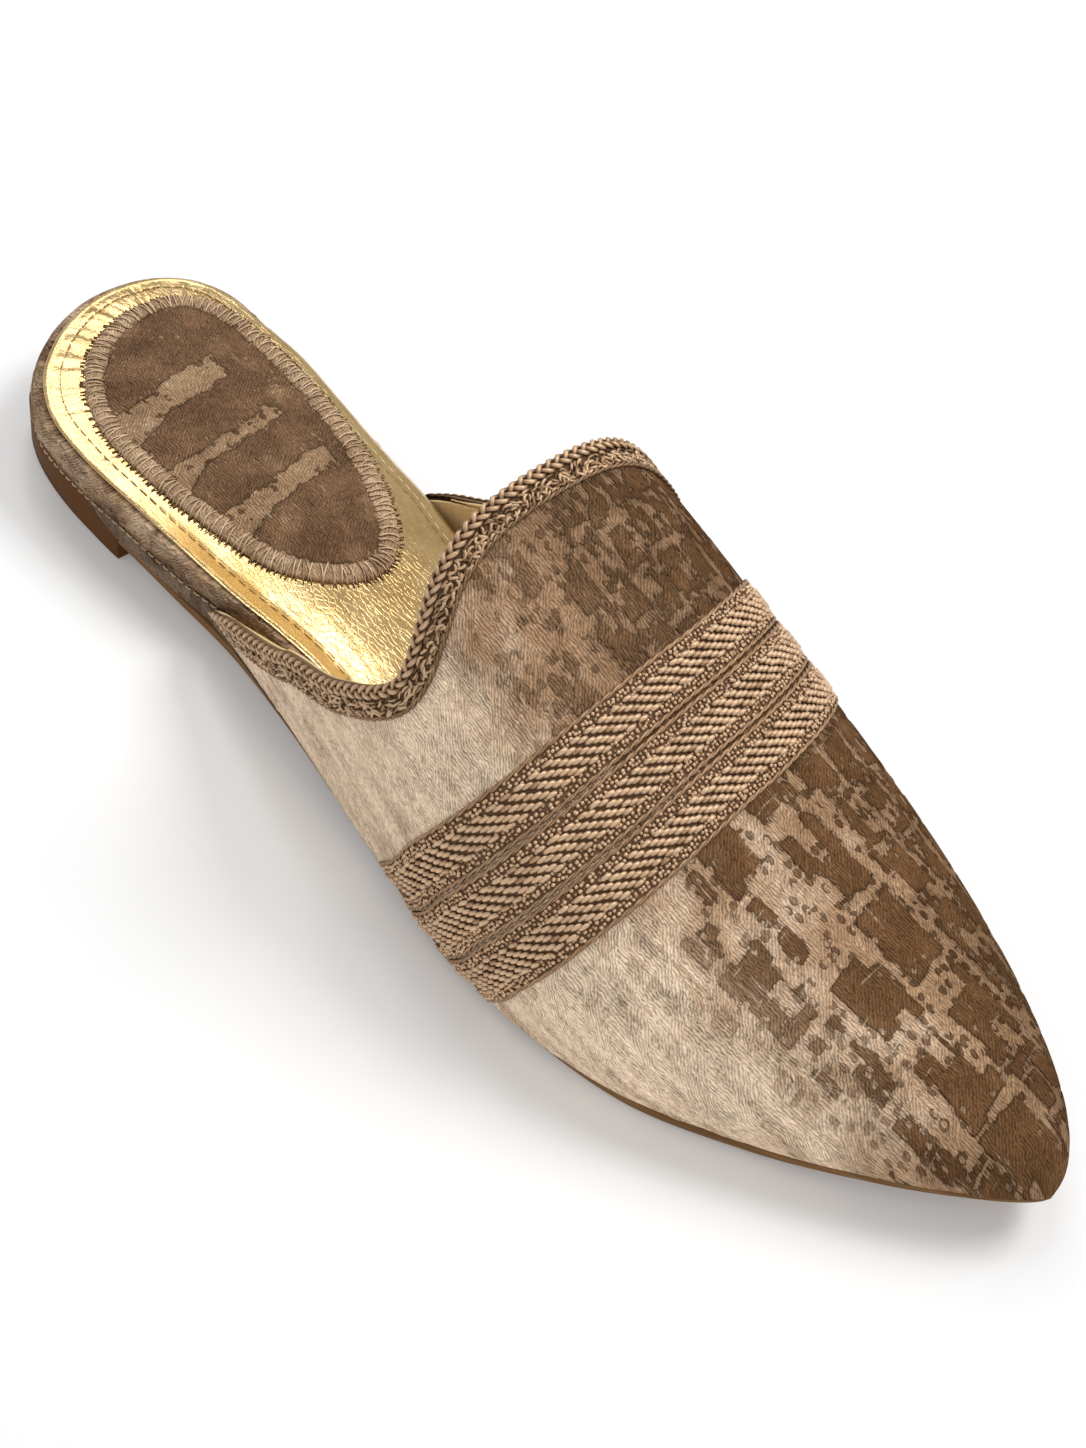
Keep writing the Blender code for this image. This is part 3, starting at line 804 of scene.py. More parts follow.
def upper_wear(x, girth):
    """What the velvet needs at each place of the upper: pile, fade and shade, contrast and the place on
    the cloth.

    The cloth leans a little to the foot. It fades from the medial to the lateral side along a wandering
    line, and the toe's coarser pattern takes over from the throat's under the bands. The low values on the
    medial side are painted shade, the high ones on the lateral side are real fading and partly painted
    sheen, and the toe's values fall towards its tip.
    """
    lean = math.radians(9)
    u = x * math.cos(lean) + girth * math.sin(lean)
    w = girth * math.cos(lean) - x * math.sin(lean)
    aside = girth + 7 * ragged(x, girth, 26, 71) - 5 * ease(175, 190, x) + 9 * ease(205, 240, x)
    side = [-52, -42, -27, -8, 16, 40]
    # low values are painted shade on the medial side; high values are real fading, partly painted sheen
    throat_fade_and_shade = np.interp(aside, side, [1.0, 0.88, 0.56, 0.36, 0.27, 0.2])
    toe_fade_and_shade = np.interp(aside, side, [1.08, 0.98, 0.7, 0.54, 0.3, 0.1]) * (1 - 0.25 * ease(240, 260, x))
    toe_cover = np.interp(girth, [-40, -24, -8, 12], [0.2, 0.66, 0.82, 0.84])
    throat_cover = np.interp(girth, [-40, -24, -4, 20], [0.08, 0.32, 0.62, 0.80])
    toe = np.where(w > -22, pile_depth(u, w, toe_cover, 0.62, 600), pile_depth(u, w, toe_cover))
    throat = pile_depth(u, w, throat_cover, 0.5, 200)
    throat_contrast = np.interp(girth, [-40, -20, 0, 25], [0.4, 0.5, 0.75, 1.0])
    at_toe = x > PATTERN_CHANGE
    return {
        "pile": np.where(at_toe, toe + 0.5 * ease(238, 256, x), throat),
        "bleach": np.where(at_toe, toe_fade_and_shade, throat_fade_and_shade),
        "contrast": np.where(at_toe, 0.95, throat_contrast),
        "cloth": cloth_place(u, w),
    }


def upper(cloth, lining):
    """The velvet and, inside it, the gold lining, both offsets of the last's outer face."""
    fine = 4
    x, s = upper_grid(80 * fine + 1, 65 * fine + 1)
    face, out = section(x, s), normal(x, s)
    face[..., 2] -= (GAP + SOLE_SINK) * ease(0.94, 1.0, np.abs(s))
    girth = np.cumsum(np.linalg.norm(np.diff(face, axis=1, prepend=face[:, :1]), axis=-1), axis=1)
    girth -= girth[:, girth.shape[1] // 2, None]
    wear = upper_wear(x, girth)
    raised = face + out * (PILE * ease(-0.3, 0.3, wear["pile"]) * ease(264.5, 258, x))[..., None]
    inward = -(out * np.minimum(along(LAST, x, 1) / 4, 1)[..., None])[::fine, ::fine]
    coarse = face[::fine, ::fine]
    under = coarse + inward * VELVET
    tip = np.array([LAST[-1, 0], 0, float(seat(LAST[-1, 0])) - SOLE_SINK])
    reach = np.array([0.05, 0, 0])
    points = np.concatenate([raised.reshape(-1, 3), under.reshape(-1, 3), [tip, tip - VELVET * reach]])
    bare = np.zeros(under.shape[0] * under.shape[1] + 2)
    values = {
        "pile": np.append(wear["pile"], bare - 3),
        "bleach": np.append(wear["bleach"], bare),
        "contrast": np.append(wear["contrast"], bare),
        "cloth": np.append(wear["cloth"].reshape(-1, 3), cloth_place(bare, bare), axis=0),
    }
    write("upper_velvet", points, upper_shell(raised, under, fine), cloth, ["upper"], values, 50)
    clear = VELVET + 0.05
    outer, inner = coarse + inward * clear, coarse + inward * WALL
    ends = [tip - clear * reach, tip - WALL * reach]
    points = np.concatenate([outer.reshape(-1, 3), inner.reshape(-1, 3), ends])
    write("upper_lining", points, upper_shell(outer, inner, 1), lining, sharp=50)


class Collar:
    """Places on the collar: a run along the topline and a way down from it over the outer face.

    A negative way down goes over the edge, which is a half round about the wall.
    """

    def __init__(self):
        s = crowd(481) * 0.985
        x = curve(TOPLINE[:, 0], TOPLINE[:, 1], s)
        edge = section(x, s)
        self.run = lengths(edge)
        self.length = self.run[-1]
        inward = np.cross(unit(np.gradient(edge, axis=0)), normal(x, s))
        self.spacing = 0.6
        rows = [walk(x, s, inward, d) for d in np.arange(0, COLLAR + 1, self.spacing)]
        self.face = np.stack([section(*row) for row in rows])
        self.out = np.stack([normal(*row) for row in rows])
        self.off = -inward[None]

    def at(self, run, down, height):
        """Point and outward direction at a height over the face; both ends of the collar taper."""
        taper = 0.35 + 0.65 * ease(0, 11, run) * ease(0, 11, self.length - run)
        down, height = down * taper, height * taper
        column = np.interp(run, self.run, np.arange(len(self.run)))
        row = np.maximum(down, 0) / self.spacing
        up = unit(sample(self.out, row, column))
        off = unit(sample(np.concatenate([self.off, self.off]), 0 * row, column))
        half = WALL / 2
        angle = np.maximum(-down, 0)[..., None] / (half + 0.4)
        lifted = np.cos(angle) * up + np.sin(angle) * off
        return sample(self.face, row, column) - half * up + (half + height[..., None]) * lifted, lifted


def plait(collar, middle, swing, pitch, thick, lift, strands=3):
    """Strands of a flat plait on the collar: down = middle + swing sin t, height = lift + thick sin 2t."""
    run = np.arange(0.3, collar.length - 0.3, pitch / 20)
    t = 2 * np.pi * (run / pitch + np.arange(strands)[:, None] / strands)
    paths, ups = collar.at(run + 0 * t, middle + swing * np.sin(t), lift + thick * np.sin(2 * t))
    # painted highlight where a strand rides high over the others and painted shade where it dips under
    return paths, ups, 0.7 * np.sin(2 * t) - 0.5


def tangled_loops(collar):
    """Rows of short bowed loops, each at its own lean, on the braid's flat side."""
    parts = []
    rng = np.random.default_rng(23)
    t = np.linspace(-1, 1, 6)
    for middle, pitch in ((1.75, 0.85), (2.6, 0.8), (3.4, 0.8), (3.9, 0.95)):
        centre = np.arange(0.8, collar.length - 0.8, pitch)
        centre = (centre + 0.3 * rng.standard_normal(len(centre)))[:, None]
        lean = 2.2 * rng.random(centre.shape) - 1.1
        bow = 0.35 * rng.standard_normal(centre.shape)
        half = 0.7 + 0.3 * rng.random(centre.shape)
        run = centre + half * t * np.cos(lean) - bow * (1 - t * t) * np.sin(lean)
        down = middle + half * t * np.sin(lean) + bow * (1 - t * t) * np.cos(lean)
        run, down = np.clip(run, 0.2, collar.length - 0.2), np.clip(down, 1.4, COLLAR - 0.7)
        # level is random tone that also lifts the loop, so higher loops get a painted highlight
        level = 0.5 * rng.standard_normal(centre.shape) + 0 * t
        path, up = collar.at(run, down, 0.5 + 0.14 * level - 0.2 * t ** 4)
        # painted shade on the loop ends, which dive under; the -0.35 is the loops' own darker tone
        parts.append(cords(path, up, 0.31 - 0.1 * t ** 4 + 0 * run, 5, 0.9, level - 0.7 * t ** 4 - 0.35))
    return parts


def collar_trim(yarn, tape, lining):
    """The braid over the topline: a tape, a fat plait on the edge, tangled loops and a smooth outer cord.

    Inside the edge lies the lining's rolled bead, thin at both ends.
    """
    collar = Collar()
    run = np.linspace(0, collar.length, 480)[:, None]
    down = np.linspace(-COLLAR_TURN, COLLAR - 0.3, 26)
    over, under = (collar.at(run + 0 * down, down + 0 * run, height + 0 * run * down)[0]
                   for height in (0.34, 0.03))
    points, faces = ribbon(over, under)
    # painted shade: the tape under the strands takes the thread's darkest tone; the bare inside of the
    # turn is left light
    inside = np.where(down < -0.6, 0.9, -1.0)
    lift = np.tile(np.concatenate([inside, inside[::-1]]), len(run))
    write("collar_tape", points, faces, tape, ["collar_braid"], {"lift": lift}, 60)
    paths, ups, level = plait(collar, 0.0, 0.85, PLAIT_PITCH, 0.26, 0.52)
    parts = [cords(paths, ups, 0.48, 7, 0.75, level), *tangled_loops(collar)]
    run = np.arange(0.3, collar.length - 0.3, 0.35)
    path, up = collar.at(run, 0 * run + COLLAR - 0.5, 0 * run + 0.42)
    paths, ups = plies(path[None], up[None], 0.2, 3.4)
    parts.append(cords(paths, ups, 0.27, 6, 1.0, -0.6))
    write_cords("collar_strands", parts, yarn)
    run = run[(run > BEAD_START) & (run < collar.length - BEAD_START)]
    path, up = collar.at(run, 0 * run - 2.6, 0 * run - 0.2)
    full = BEAD_START + 14
    swell = ease(BEAD_START, full, run) * ease(BEAD_START, full, collar.length - run)
    bead = cords(path[None], up[None], BEAD * (0.2 + 0.8 * swell)[None], 8)
    write_cords("collar_bead", [bead], lining)


class Band:
    """Places on the vamp band, whose rows lie side by side between a rear and a front edge."""

    def __init__(self):
        self.s = crowd(401) * 0.985
        self.rear = curve(BAND[:, 0], BAND[:, 1], self.s)
        self.front = curve(BAND[:, 0], BAND[:, 2], self.s)
        self.run = lengths(section((self.rear + self.front) / 2, self.s))
        self.length = self.run[-1]
        self.width = np.linalg.norm(section(self.front, self.s) - section(self.rear, self.s), axis=-1)

    def row_width(self, run):
        """Width of one row at a run along the band."""
        return np.interp(run, self.run, self.width) / 3

    def at(self, number, run, share, height):
        """Point and normal for a row, a run along it and a share of its width from its rear edge."""
        s = np.interp(run, self.run, self.s)
        rear, front = np.interp(s, self.s, self.rear), np.interp(s, self.s, self.front)
        x = rear + (front - rear) * (number + share) / 3
        up = normal(x, s)
        return section(x, s) + up * np.asarray(height)[..., None], up


def rope_strokes(band, number):
    """Ropes slanting across a row, each a file of strokes laid askew over it.

    A stroke is an arc: t from -1 to 1 along the rope, -t across it, and cos(90 deg t) above the tape.
    """
    start = np.arange(-ROPE_LEAN * 0.6, band.length - ROPE_LEAN * 0.4, ROPE_PITCH)
    middle = start + ROPE_LEAN / 2
    start = start[(middle > 3) & (middle < band.length - 3)][:, None, None]
    place = ((np.arange(ROPE_STROKES) + 0.5) / ROPE_STROKES)[:, None]
    t = np.linspace(-1, 1, 6)
    across = band.row_width(start + ROPE_LEAN * place) - 2 * ROPE_INSET
    length = np.hypot(ROPE_LEAN, across)
    rng = np.random.default_rng(number + 71)
    stray = 0.07 * rng.standard_normal((2, *across.shape))
    ahead, aside = 0.9 * t + stray[0], -0.46 * t + stray[1]
    run = start + ROPE_LEAN * place + (ahead * ROPE_LEAN - aside * across) / length
    inset = ROPE_INSET + across * place + (ahead * across + aside * ROPE_LEAN) / length
    share = inset / band.row_width(run)
    run = np.clip(run, 0.3, band.length - 0.3)
    path, up = band.at(number, run, share, 0.5 + 0.34 * np.cos(np.pi * t / 2) + 0 * run)
    # painted shade at the ends of each stroke, where it dives under the tape; the rest is random tone
    level = 0.2 + 0.25 * rng.standard_normal(across.shape) - 0.7 * t ** 4 + 0 * run
    flat = (-1, len(t), 3)
    radius = (0.50 - 0.16 * t ** 4 + 0 * run).reshape(-1, len(t))
    return cords(path.reshape(flat), up.reshape(flat), radius, 5, 0.9, level.reshape(-1, len(t)))


def knot_row(band, number, inset, lean, flip, rng):
    """One chain of small oval knots a given way in from the rear edge of a row, or from its front edge."""
    place = np.arange(0.8, band.length - 0.8, KNOT_PITCH)[:, None]
    t = np.linspace(-0.5, 0.5, 4)
    stray = 0.16 * rng.standard_normal((3, *place.shape))
    angle = lean + 2 * stray[0]
    run = np.clip(place + stray[1] + 0.8 * np.cos(angle) * t, 0.4, band.length - 0.4)
    wide = band.row_width(run)
    aside = inset + stray[2] + 0.8 * np.sin(angle) * t
    share = aside / wide if flip > 0 else 1 - aside / wide
    path, up = band.at(number, run, share, 0.48 + 0.6 * stray[0] + 0 * run)
    # painted highlight on knots that stand higher and painted shade at both ends of each knot
    return cords(path, up, 0.41 * np.sqrt(1.05 - (2 * t) ** 2), 5, 1.0, 0.1 + 2 * stray[0] - 2 * t * t)


def vamp_bands(yarn, tape):
    """Three woven rows, each a tape with ropes slanting between chains of knots and two edge cords."""
    band = Band()
    for number in range(3):
        run = np.linspace(0.1, band.length - 0.1, 360)[:, None]
        share = np.linspace(0.02, 0.98, 8)
        over, under = (band.at(number, run + 0 * share, share + 0 * run, height + 0 * run * share)[0]
                       for height in (0.32, 0.04))
        points, faces = ribbon(over, under)
        nodes = [f"vamp_band_{number + 1}"]
        # painted shade: the tape under the ropes and knots takes the thread's darkest tone
        lift = {"lift": np.full(len(points), -1.0)}
        write(f"band_tape_{number + 1}", points, faces, tape, nodes, lift, 60)
        parts = [rope_strokes(band, number)]
        rng = np.random.default_rng(number + 81)
        for inset, lean in ((1.35, 0.7), (2.1, -0.7), (2.85, 0.7)):
            parts.append(knot_row(band, number, inset, lean, 1, rng))
            parts.append(knot_row(band, number, inset, -lean, -1, rng))
        run = np.arange(0.3, band.length - 0.3, 0.45)
        for inset, flip, radius in ((0.6, 1, 0.3), (0.55, -1, 0.28)):
            share = inset / band.row_width(run)
            path, up = band.at(number, run, share if flip > 0 else 1 - share, 0.45 + 0 * run)
            paths, ups = plies(path[None], up[None], 0.18, 5.0)
            parts.append(cords(paths, ups, radius, 5, 1.0, -0.55))
        write_cords(f"band_cords_{number + 1}", parts, yarn)


def edges_out(x, half):
    """Unit normal, in plan, of an edge that lies half away from the centre line at each x."""
    run, rise = np.gradient(x), np.gradient(half)
    length = np.hypot(run, rise)
    return -rise / length, run / length


def layer(x, lateral, medial, out, z, top, bottom):
    """Rings of a sole layer: the lateral edge upwards, the top, the medial edge downwards, the bottom.

    out pushes each edge point outwards in plan along the outline's normal and z is its height, both
    (x, edge). top and bottom are heights of evenly spread columns between the edges, (x, column). Where
    the edges meet, at a round end, both are pushed straight back or ahead.
    """
    edges = []
    meet = np.isclose(lateral + medial, 0)
    for half, sign in ((lateral, -1), (medial, 1)):
        push_x, push_y = edges_out(x, half)
        push_x = np.where(meet, np.sign(x - x.mean()), push_x)
        push_y = np.where(meet, 0, push_y)
        edge_x = x[:, None] + push_x[:, None] * out
        edge_y = sign * (half[:, None] + push_y[:, None] * out)
        edges.append(np.stack([edge_x, edge_y, z], -1))
    rows = []
    for height in (top, bottom):
        v = np.linspace(0, 1, height.shape[1] + 2)[1:-1]
        y = -lateral[:, None] * (1 - v) + medial[:, None] * v
        rows.append(np.stack(np.broadcast_arrays(x[:, None], y, height), -1))
    return np.concatenate([edges[0], rows[0], edges[1][:, ::-1], rows[1][:, ::-1]], axis=1)


def trimmed(x, lateral, medial, low, high, soft, flat=(0, -1)):
    """A flat layer whose edge is rounded off by a quarter circle above and below."""
    low, high = low[:, None], high[:, None]
    soft = np.minimum(soft, (high - low) * 0.45)
    angle = np.radians(np.linspace(90, 0, 5))
    out = -soft * (1 - np.cos(np.concatenate([angle, angle[::-1]])))
    z = np.concatenate([low + soft * (1 - np.sin(angle)), high - soft * (1 - np.sin(angle[::-1]))], axis=1)
    columns = np.ones(6)
    return loft(layer(x, lateral, medial, out, z, high * columns, low * columns), flat)


def sole(heel_finish, sole_finish, cloth):
    """Heel block, outsole and the velvet-covered midsole wedge."""
    x = stations(HEEL[0, 0], HEEL[-1, 0], 90)
    points, faces = trimmed(x, along(HEEL, x, 1), along(HEEL, x, 2), 0 * x, seat(x), 0.5, [-1])
    write("heel_block", points, faces, heel_finish, ["heel"], sharp=35)
    x = stations(SOLE[0, 0], SOLE[-1, 0], 220)
    lateral, medial = along(SOLE, x, 1), along(SOLE, x, 2)
    points, faces = trimmed(x, lateral, medial, seat(x) - thickness(x), seat(x), 0.45, [0])
    write("outsole_leather", points, faces, sole_finish, ["outsole"], sharp=35)
    x = np.concatenate([np.linspace(27, 51, 40), np.linspace(52, 150, 120)])
    under_roll = np.interp(x, [27, 34, 51, 70, 80], [27.4, 29.4, 30.4, 29.9, 29.2])
    under_arch = np.interp(x, [27, 34, 51, 80], [26.4, 26.8, 26.0, 24.4])
    lap = 1.2 * ease(27, 42, x) * ease(85, 76, x)
    lateral = np.where(x < 80, under_roll, -section(x, -1)[:, 1] - MIDSOLE_INSET)
    medial = np.where(x < 80, under_arch, section(x, 1)[:, 1] - MIDSOLE_INSET)
    points, faces = trimmed(x, lateral, medial, seat(x) + GAP, midsole_top(x) + lap, 0.6)
    depth = pile_depth(points[:, 0], points[:, 2] * 2 + points[:, 1], 0.35, 0.6, 300)
    values = {
        "pile": depth,
        "contrast": np.full(len(points), 0.5),
        "bleach": 0.35 + 0.3 * ragged(points[:, 0], points[:, 2] * 2, 7, 301),
        "cloth": cloth_place(points[:, 0], points[:, 2] + points[:, 1]),
    }
    # the wrap takes the shaded copy of the velvet: painted shade
    write("midsole_wrap", points, faces, cloth, ["midsole"], values, 50)


def board(x):
    """Underside and top of the padded board at each x."""
    return np.maximum(seat(x), midsole_top(x)) + GAP, along(INSOLE, x, 3) - SOCK - GAP


def roll_bulge(x):
    """How far the roll stands past the insole's edge before it goes under the quarters."""
    return ROLL * np.clip((98 - x) / 24, 0, 1)


def footbed(cloth):
    """The padded board: a soft velvet roll past the insole's edge, lightly puckered by its seam.

    At a tilt from -90 to 90 degrees the roll stands out by the bulge times cos(tilt)^0.7, and z goes as
    sin(tilt). It gains a little behind the heel and fills out where the quarters leave it.
    """
    x = stations(INSOLE[0, 0], INSOLE[-1, 0], 380)
    low, high = (level[:, None] for level in board(x))
    tilt = np.radians(np.linspace(-90, 90, 19))
    z = (low + high) / 2 + (high - low) / 2 * np.sin(tilt)
    bulge = roll_bulge(x) + ROLL_BACK * np.clip((16 - x) / 16, 0, 1) + 3 * np.exp(-((x - 103) / 8) ** 2)
    slack = 0.25 + 0.75 * ease(8, 30, x)[:, None]
    across = 5 * tilt[None]
    folds = 0.2 * ragged(x[:, None], across, 5, 91) + 0.15 * ragged(x[:, None], across, 1.8, 95)
    out = bulge[:, None] * np.abs(np.cos(tilt)) ** 0.7 * (1 + slack * folds)
    columns = np.ones(10)
    lateral, medial = along(INSOLE, x, 1), along(INSOLE, x, 2)
    points, faces = loft(layer(x, lateral, medial, out, z, high * columns, low * columns), [])
    loop, around = plan_loop(INSOLE, 2400)
    _, nearest = from_loop(points[:, :2], loop)
    run, rise = nearest * around / len(loop), points[:, 2] * 1.6
    # painted shade: the roll's fade value drops towards its underside, darkening it
    shade = ease(15, 11.5, points[:, 2])
    values = {
        "pile": pile_depth(run, rise, 0.5, 0.5, 400),
        "contrast": np.full(len(points), 0.35),
        "bleach": np.clip(0.62 + 0.5 * ragged(run, rise, 11, 97) - 0.3 * shade, 0, 1),
        "cloth": cloth_place(run, rise),
    }
    piece = write("footbed_roll", points, faces, cloth, ["footbed"], values, 60)


def insole_height(x):
    """Height of the insole's upper face."""
    return along(INSOLE, x, 3)


def insole_relief(x, y, inset, place, waist):
    """Small heights on the gold sock, at an inset from its edge and a place round it.

    A raised folded rim with a stitch groove inside it, creases across the heel's edge, folds along the
    waist, and a slow swell all over.
    """
    rim = 0.14 * np.exp(-((inset - 0.7) / 0.5) ** 2) - 0.5 * np.exp(-inset / 0.35)
    groove = -0.05 * np.exp(-((inset - 3.4) / 0.32) ** 2)
    creases = ragged(place + 0.8 * ragged(place, inset, 7, 111), 0.05 * inset, 1.7, 121)
    creases = 0.14 * creases * ease(1.2, 2.6, inset) * ease(11, 7.5, inset) * ease(70, 35, x)
    folds = 0.04 * ragged(0.22 * x + 0.4 * inset, inset, 2.0, 131) * waist
    folds = folds * ease(1.2, 2.5, inset) * ease(13, 6, inset)
    swell = 0.06 * ragged(x + 0 * y, y, 9, 141) + 0.014 * ragged(x + 0 * y, y, 2.4, 145)
    return rim + groove + creases + folds + swell * ease(1, 5, inset)


def insole(foil):
    """The gold sock: a sheet that curls down to its edge and turns over the roll on the arch side.

    The curl goes as (1 - inset / reach)^2 and the turned lip as the square of the way across it. A strip
    inside the lateral rim, where the sock curls down, gets painted shade and a rougher, smoother finish.
    """
    back = INSOLE[0, 0] + 24 * (1 - np.cos(np.linspace(0, np.pi / 2, 70)))
    x = np.concatenate([back, np.arange(25.4, 142, 0.55), stations(143, INSOLE[-1, 0], 60)])
    lateral, medial = along(GOLD, x, 1), along(GOLD, x, 2)
    columns = 118
    v = np.linspace(0, 1, columns + 2)[1:-1]
    y = -lateral[:, None] * (1 - v) + medial[:, None] * v
    loop, around = plan_loop(GOLD, 900)
    plan = np.stack([np.broadcast_to(x[:, None], y.shape), y], -1).reshape(-1, 2)
    inset, nearest = from_loop(plan, loop)
    inset, place = inset.reshape(y.shape), (nearest * around / len(loop)).reshape(y.shape)
    waist = (ease(50, 75, x) * ease(130, 112, x))[:, None]
    drop = 1.05 * waist + 0.35 * (1 - waist)
    curl = drop * (1 - np.clip(inset / (9 + 5 * waist), 0, 1)) ** 2
    lip = (medial - along(INSOLE, x, 2))[:, None]
    turned = 0.5 * np.clip((y - medial[:, None]) / np.maximum(lip, 0.1) + 1, 0, 1) ** 2 * lip
    high = insole_height(x)[:, None]
    top = high + insole_relief(x[:, None], y, inset, place, waist) - curl - turned
    soft = 0.5
    angle = np.radians(np.linspace(90, 0, 4))
    out = -soft * (1 - np.cos(np.concatenate([angle, angle[::-1]])))
    rise = np.concatenate([soft * (1 - np.sin(angle)), SOCK - soft * (1 - np.sin(angle[::-1]))])
    z = high - SOCK + rise * (1 - drop / SOCK)
    bottom = (high - SOCK) * np.ones(6)
    rings = layer(x, lateral, medial, np.broadcast_to(out, z.shape), z, top, bottom)
    rings[:, -z.shape[1] - bottom.shape[1]:-bottom.shape[1], 2] -= 0.5 * lip
    points, faces = loft(rings, [])
    edge = 3.6 + 1.2 * ragged(x[:, None], 0 * y, 9, 155)
    # painted shade on the strip where the sock curls down at the lateral waist
    shaded_strip = waist * ease(0.7, 1.0, inset) * ease(edge + 0.7, edge - 0.7, inset) * (y < 0)
    bare = np.zeros_like(z)
    dull = np.concatenate([bare, shaded_strip, bare, 0 * bottom], axis=1).ravel()
    write("insole_foil", points, faces, foil, ["insole"], {"dull": dull}, 70)


def pad_height(inset, place):
    """Height of the heel pad over the insole: a stitched bead round its edge, a sunk seam, the crown."""
    bead = 0.2 + 0.9 * np.sqrt(1 - np.clip((inset - BORDER / 2) / (BORDER / 2 + 0.15), -1, 1) ** 2)
    crown = 0.75 + (PAD_RISE - 0.75) * ease(BORDER - 1.5, 15, inset)
    tuck = 0.12 * np.cos(2 * np.pi * place / WHIP) * np.exp(-((inset - 1.2) / 1.6) ** 2)
    return np.where(inset < BORDER, np.maximum(bead, np.minimum(crown, 0.2 + 2 * inset)), crown) + tuck


def pad_wear(x, y, loop):
    """What the velvet needs on the heel pad: pile between worn bars, flecked at the back and arch side."""
    across = x + 0.16 * y + 0.4 * ragged(x, y, 11, 161)
    off_bar = np.abs(across[:, None] - PAD_BARS[:, 0]) - PAD_BARS[:, 1] / 2
    past_end = y[:, None] - PAD_BARS[:, 2]
    depth = np.maximum(off_bar, past_end).min(axis=1) - 1.4 * ease(-9, -18, y)
    depth = depth + 0.5 * ragged(x, y, 4, 171) + 0.5 * ragged(x, y, 1.7, 181) - 1.2 * ease(26, 14, x)
    held, _ = from_loop(np.stack([x, y], -1), loop)
    depth = np.minimum(depth, held - BORDER + 0.6 * ragged(x, y, 3, 191))
    flecked = np.maximum(ease(-2, 12, y), ease(34, 20, x)) * ease(-0.5, 0.5, ragged(x, y, 9, 201))
    border = ease(BORDER + 0.5, BORDER - 0.5, held)
    return {
        "pile": np.clip(depth, -3, 3 - 2.3 * flecked),
        "bleach": np.clip(0.5 + 0.25 * ragged(x, y, 7, 195) + 0.25 * border, 0, 1),
        "contrast": np.ones(len(x)),
        "cloth": cloth_place(x, y),
    }


def heel_pad(cloth, yarn, holes):
    """The velvet pad as rings drawn in from its stitched edge to a pole, with the thread that holds it."""
    loop, around = plan_loop(PAD, 640)
    middle = np.array([50.0, 0.8])
    share = 1 - np.concatenate([np.linspace(0, 0.3, 30), np.linspace(0.315, 0.985, 46)])
    plan = middle + share[:, None, None] * (loop - middle)
    inset, _ = from_loop(plan.reshape(-1, 2), loop)
    inset = np.where(np.repeat(share, len(loop)) == 1, 0, inset)
    place = np.broadcast_to(np.arange(len(loop)) * around / len(loop), plan.shape[:2])
    x, y = plan[..., 0].ravel(), plan[..., 1].ravel()
    rise = pad_height(inset, place.ravel()) + 0.08 * ragged(x, y, 8, 151) * ease(6, 12, inset)
    top = np.stack([x, y, insole_height(x) + GAP * 0.4 + rise], -1)
    foot = np.stack([loop[:, 0], loop[:, 1], insole_height(loop[:, 0]) + 0.05], -1)
    level = insole_height(middle[0])
    poles = np.array([[*middle, level + PAD_RISE + 0.1], [*middle, level + 0.05]])
    points = np.concatenate([foot, top, poles])
    rings, count = len(share) + 1, len(loop)
    index = np.arange(count)
    beside = (index + 1) % count
    crown = (rings - 1) * count
    fan = np.stack([crown + index, crown + beside, 0 * index + rings * count], -1)
    base = np.stack([index, beside, 0 * index + rings * count + 1], -1)
    faces = [quads(rings, count, closed=True), fan, base]
    values = pad_wear(points[:, 0], points[:, 1], loop)
    piece = write("heel_pad_velvet", points, faces, cloth, ["heel_pad"], values, 70)
    whip_thread(loop, around, yarn, holes)


def round_loop(rows, at):
    """Plan vectors held round a closed loop, read between its points."""
    lap = np.arange(len(rows) + 1)
    closed = np.append(rows, rows[:1], axis=0)
    return np.stack([np.interp(at % len(rows), lap, closed[:, k]) for k in range(2)], -1)


def whip_thread(loop, around, yarn, holes):
    """Slanting stitches from the pad's seam line over its bead to the insole, and a dark tick of painted
    shade at each hole.
    """
    count = int(round(around / WHIP))
    rng = np.random.default_rng(17)
    stray = rng.standard_normal((4, count, 1))
    t = np.linspace(0, 1, 9)
    number = np.arange(count)[:, None]
    slant = np.where(number % 2, 1.0, -0.3) + 0.35 * stray[1]
    at = (number + 0.25 * stray[0] + slant * t) / count * len(loop)
    inset = (-0.6 + 0.15 * stray[2]) * (1 - t) + (BORDER + 0.25 * stray[3]) * t
    aim = unit(round_loop(inward_of(loop), at))
    plan = round_loop(loop, at) + aim * inset[..., None]
    over = np.where(inset > 0, pad_height(np.maximum(inset, 0), at * around / len(loop)) + GAP * 0.4, 0.1)
    z = insole_height(plan[..., 0]) + over + 0.25 * np.sin(np.pi * t) ** 0.5
    paths = np.concatenate([plan, z[..., None]], axis=-1)
    ups = np.broadcast_to(UP, paths.shape)
    # painted shade at both ends of each stitch, where it goes into the cloth, with some random tone
    level = 0.1 - 0.9 * (2 * t - 1) ** 6 + 0.3 * stray[2]
    write_cords("pad_whip_thread", [cords(paths, ups, 0.17, 5, 1.0, level)], yarn)
    # painted shade: a dark tick at each needle hole
    away = np.append(-aim[:, 0], np.zeros((count, 1)), axis=1)
    ticks = paths[:, :1] + away[:, None] * np.linspace(-0.2, 0.5, 3)[:, None]
    ticks[..., 2] = insole_height(ticks[..., 0]) + 0.08
    write_cords("pad_needle_hole_shade", [cords(ticks, ups[:, :3], 0.15, 5)], holes)


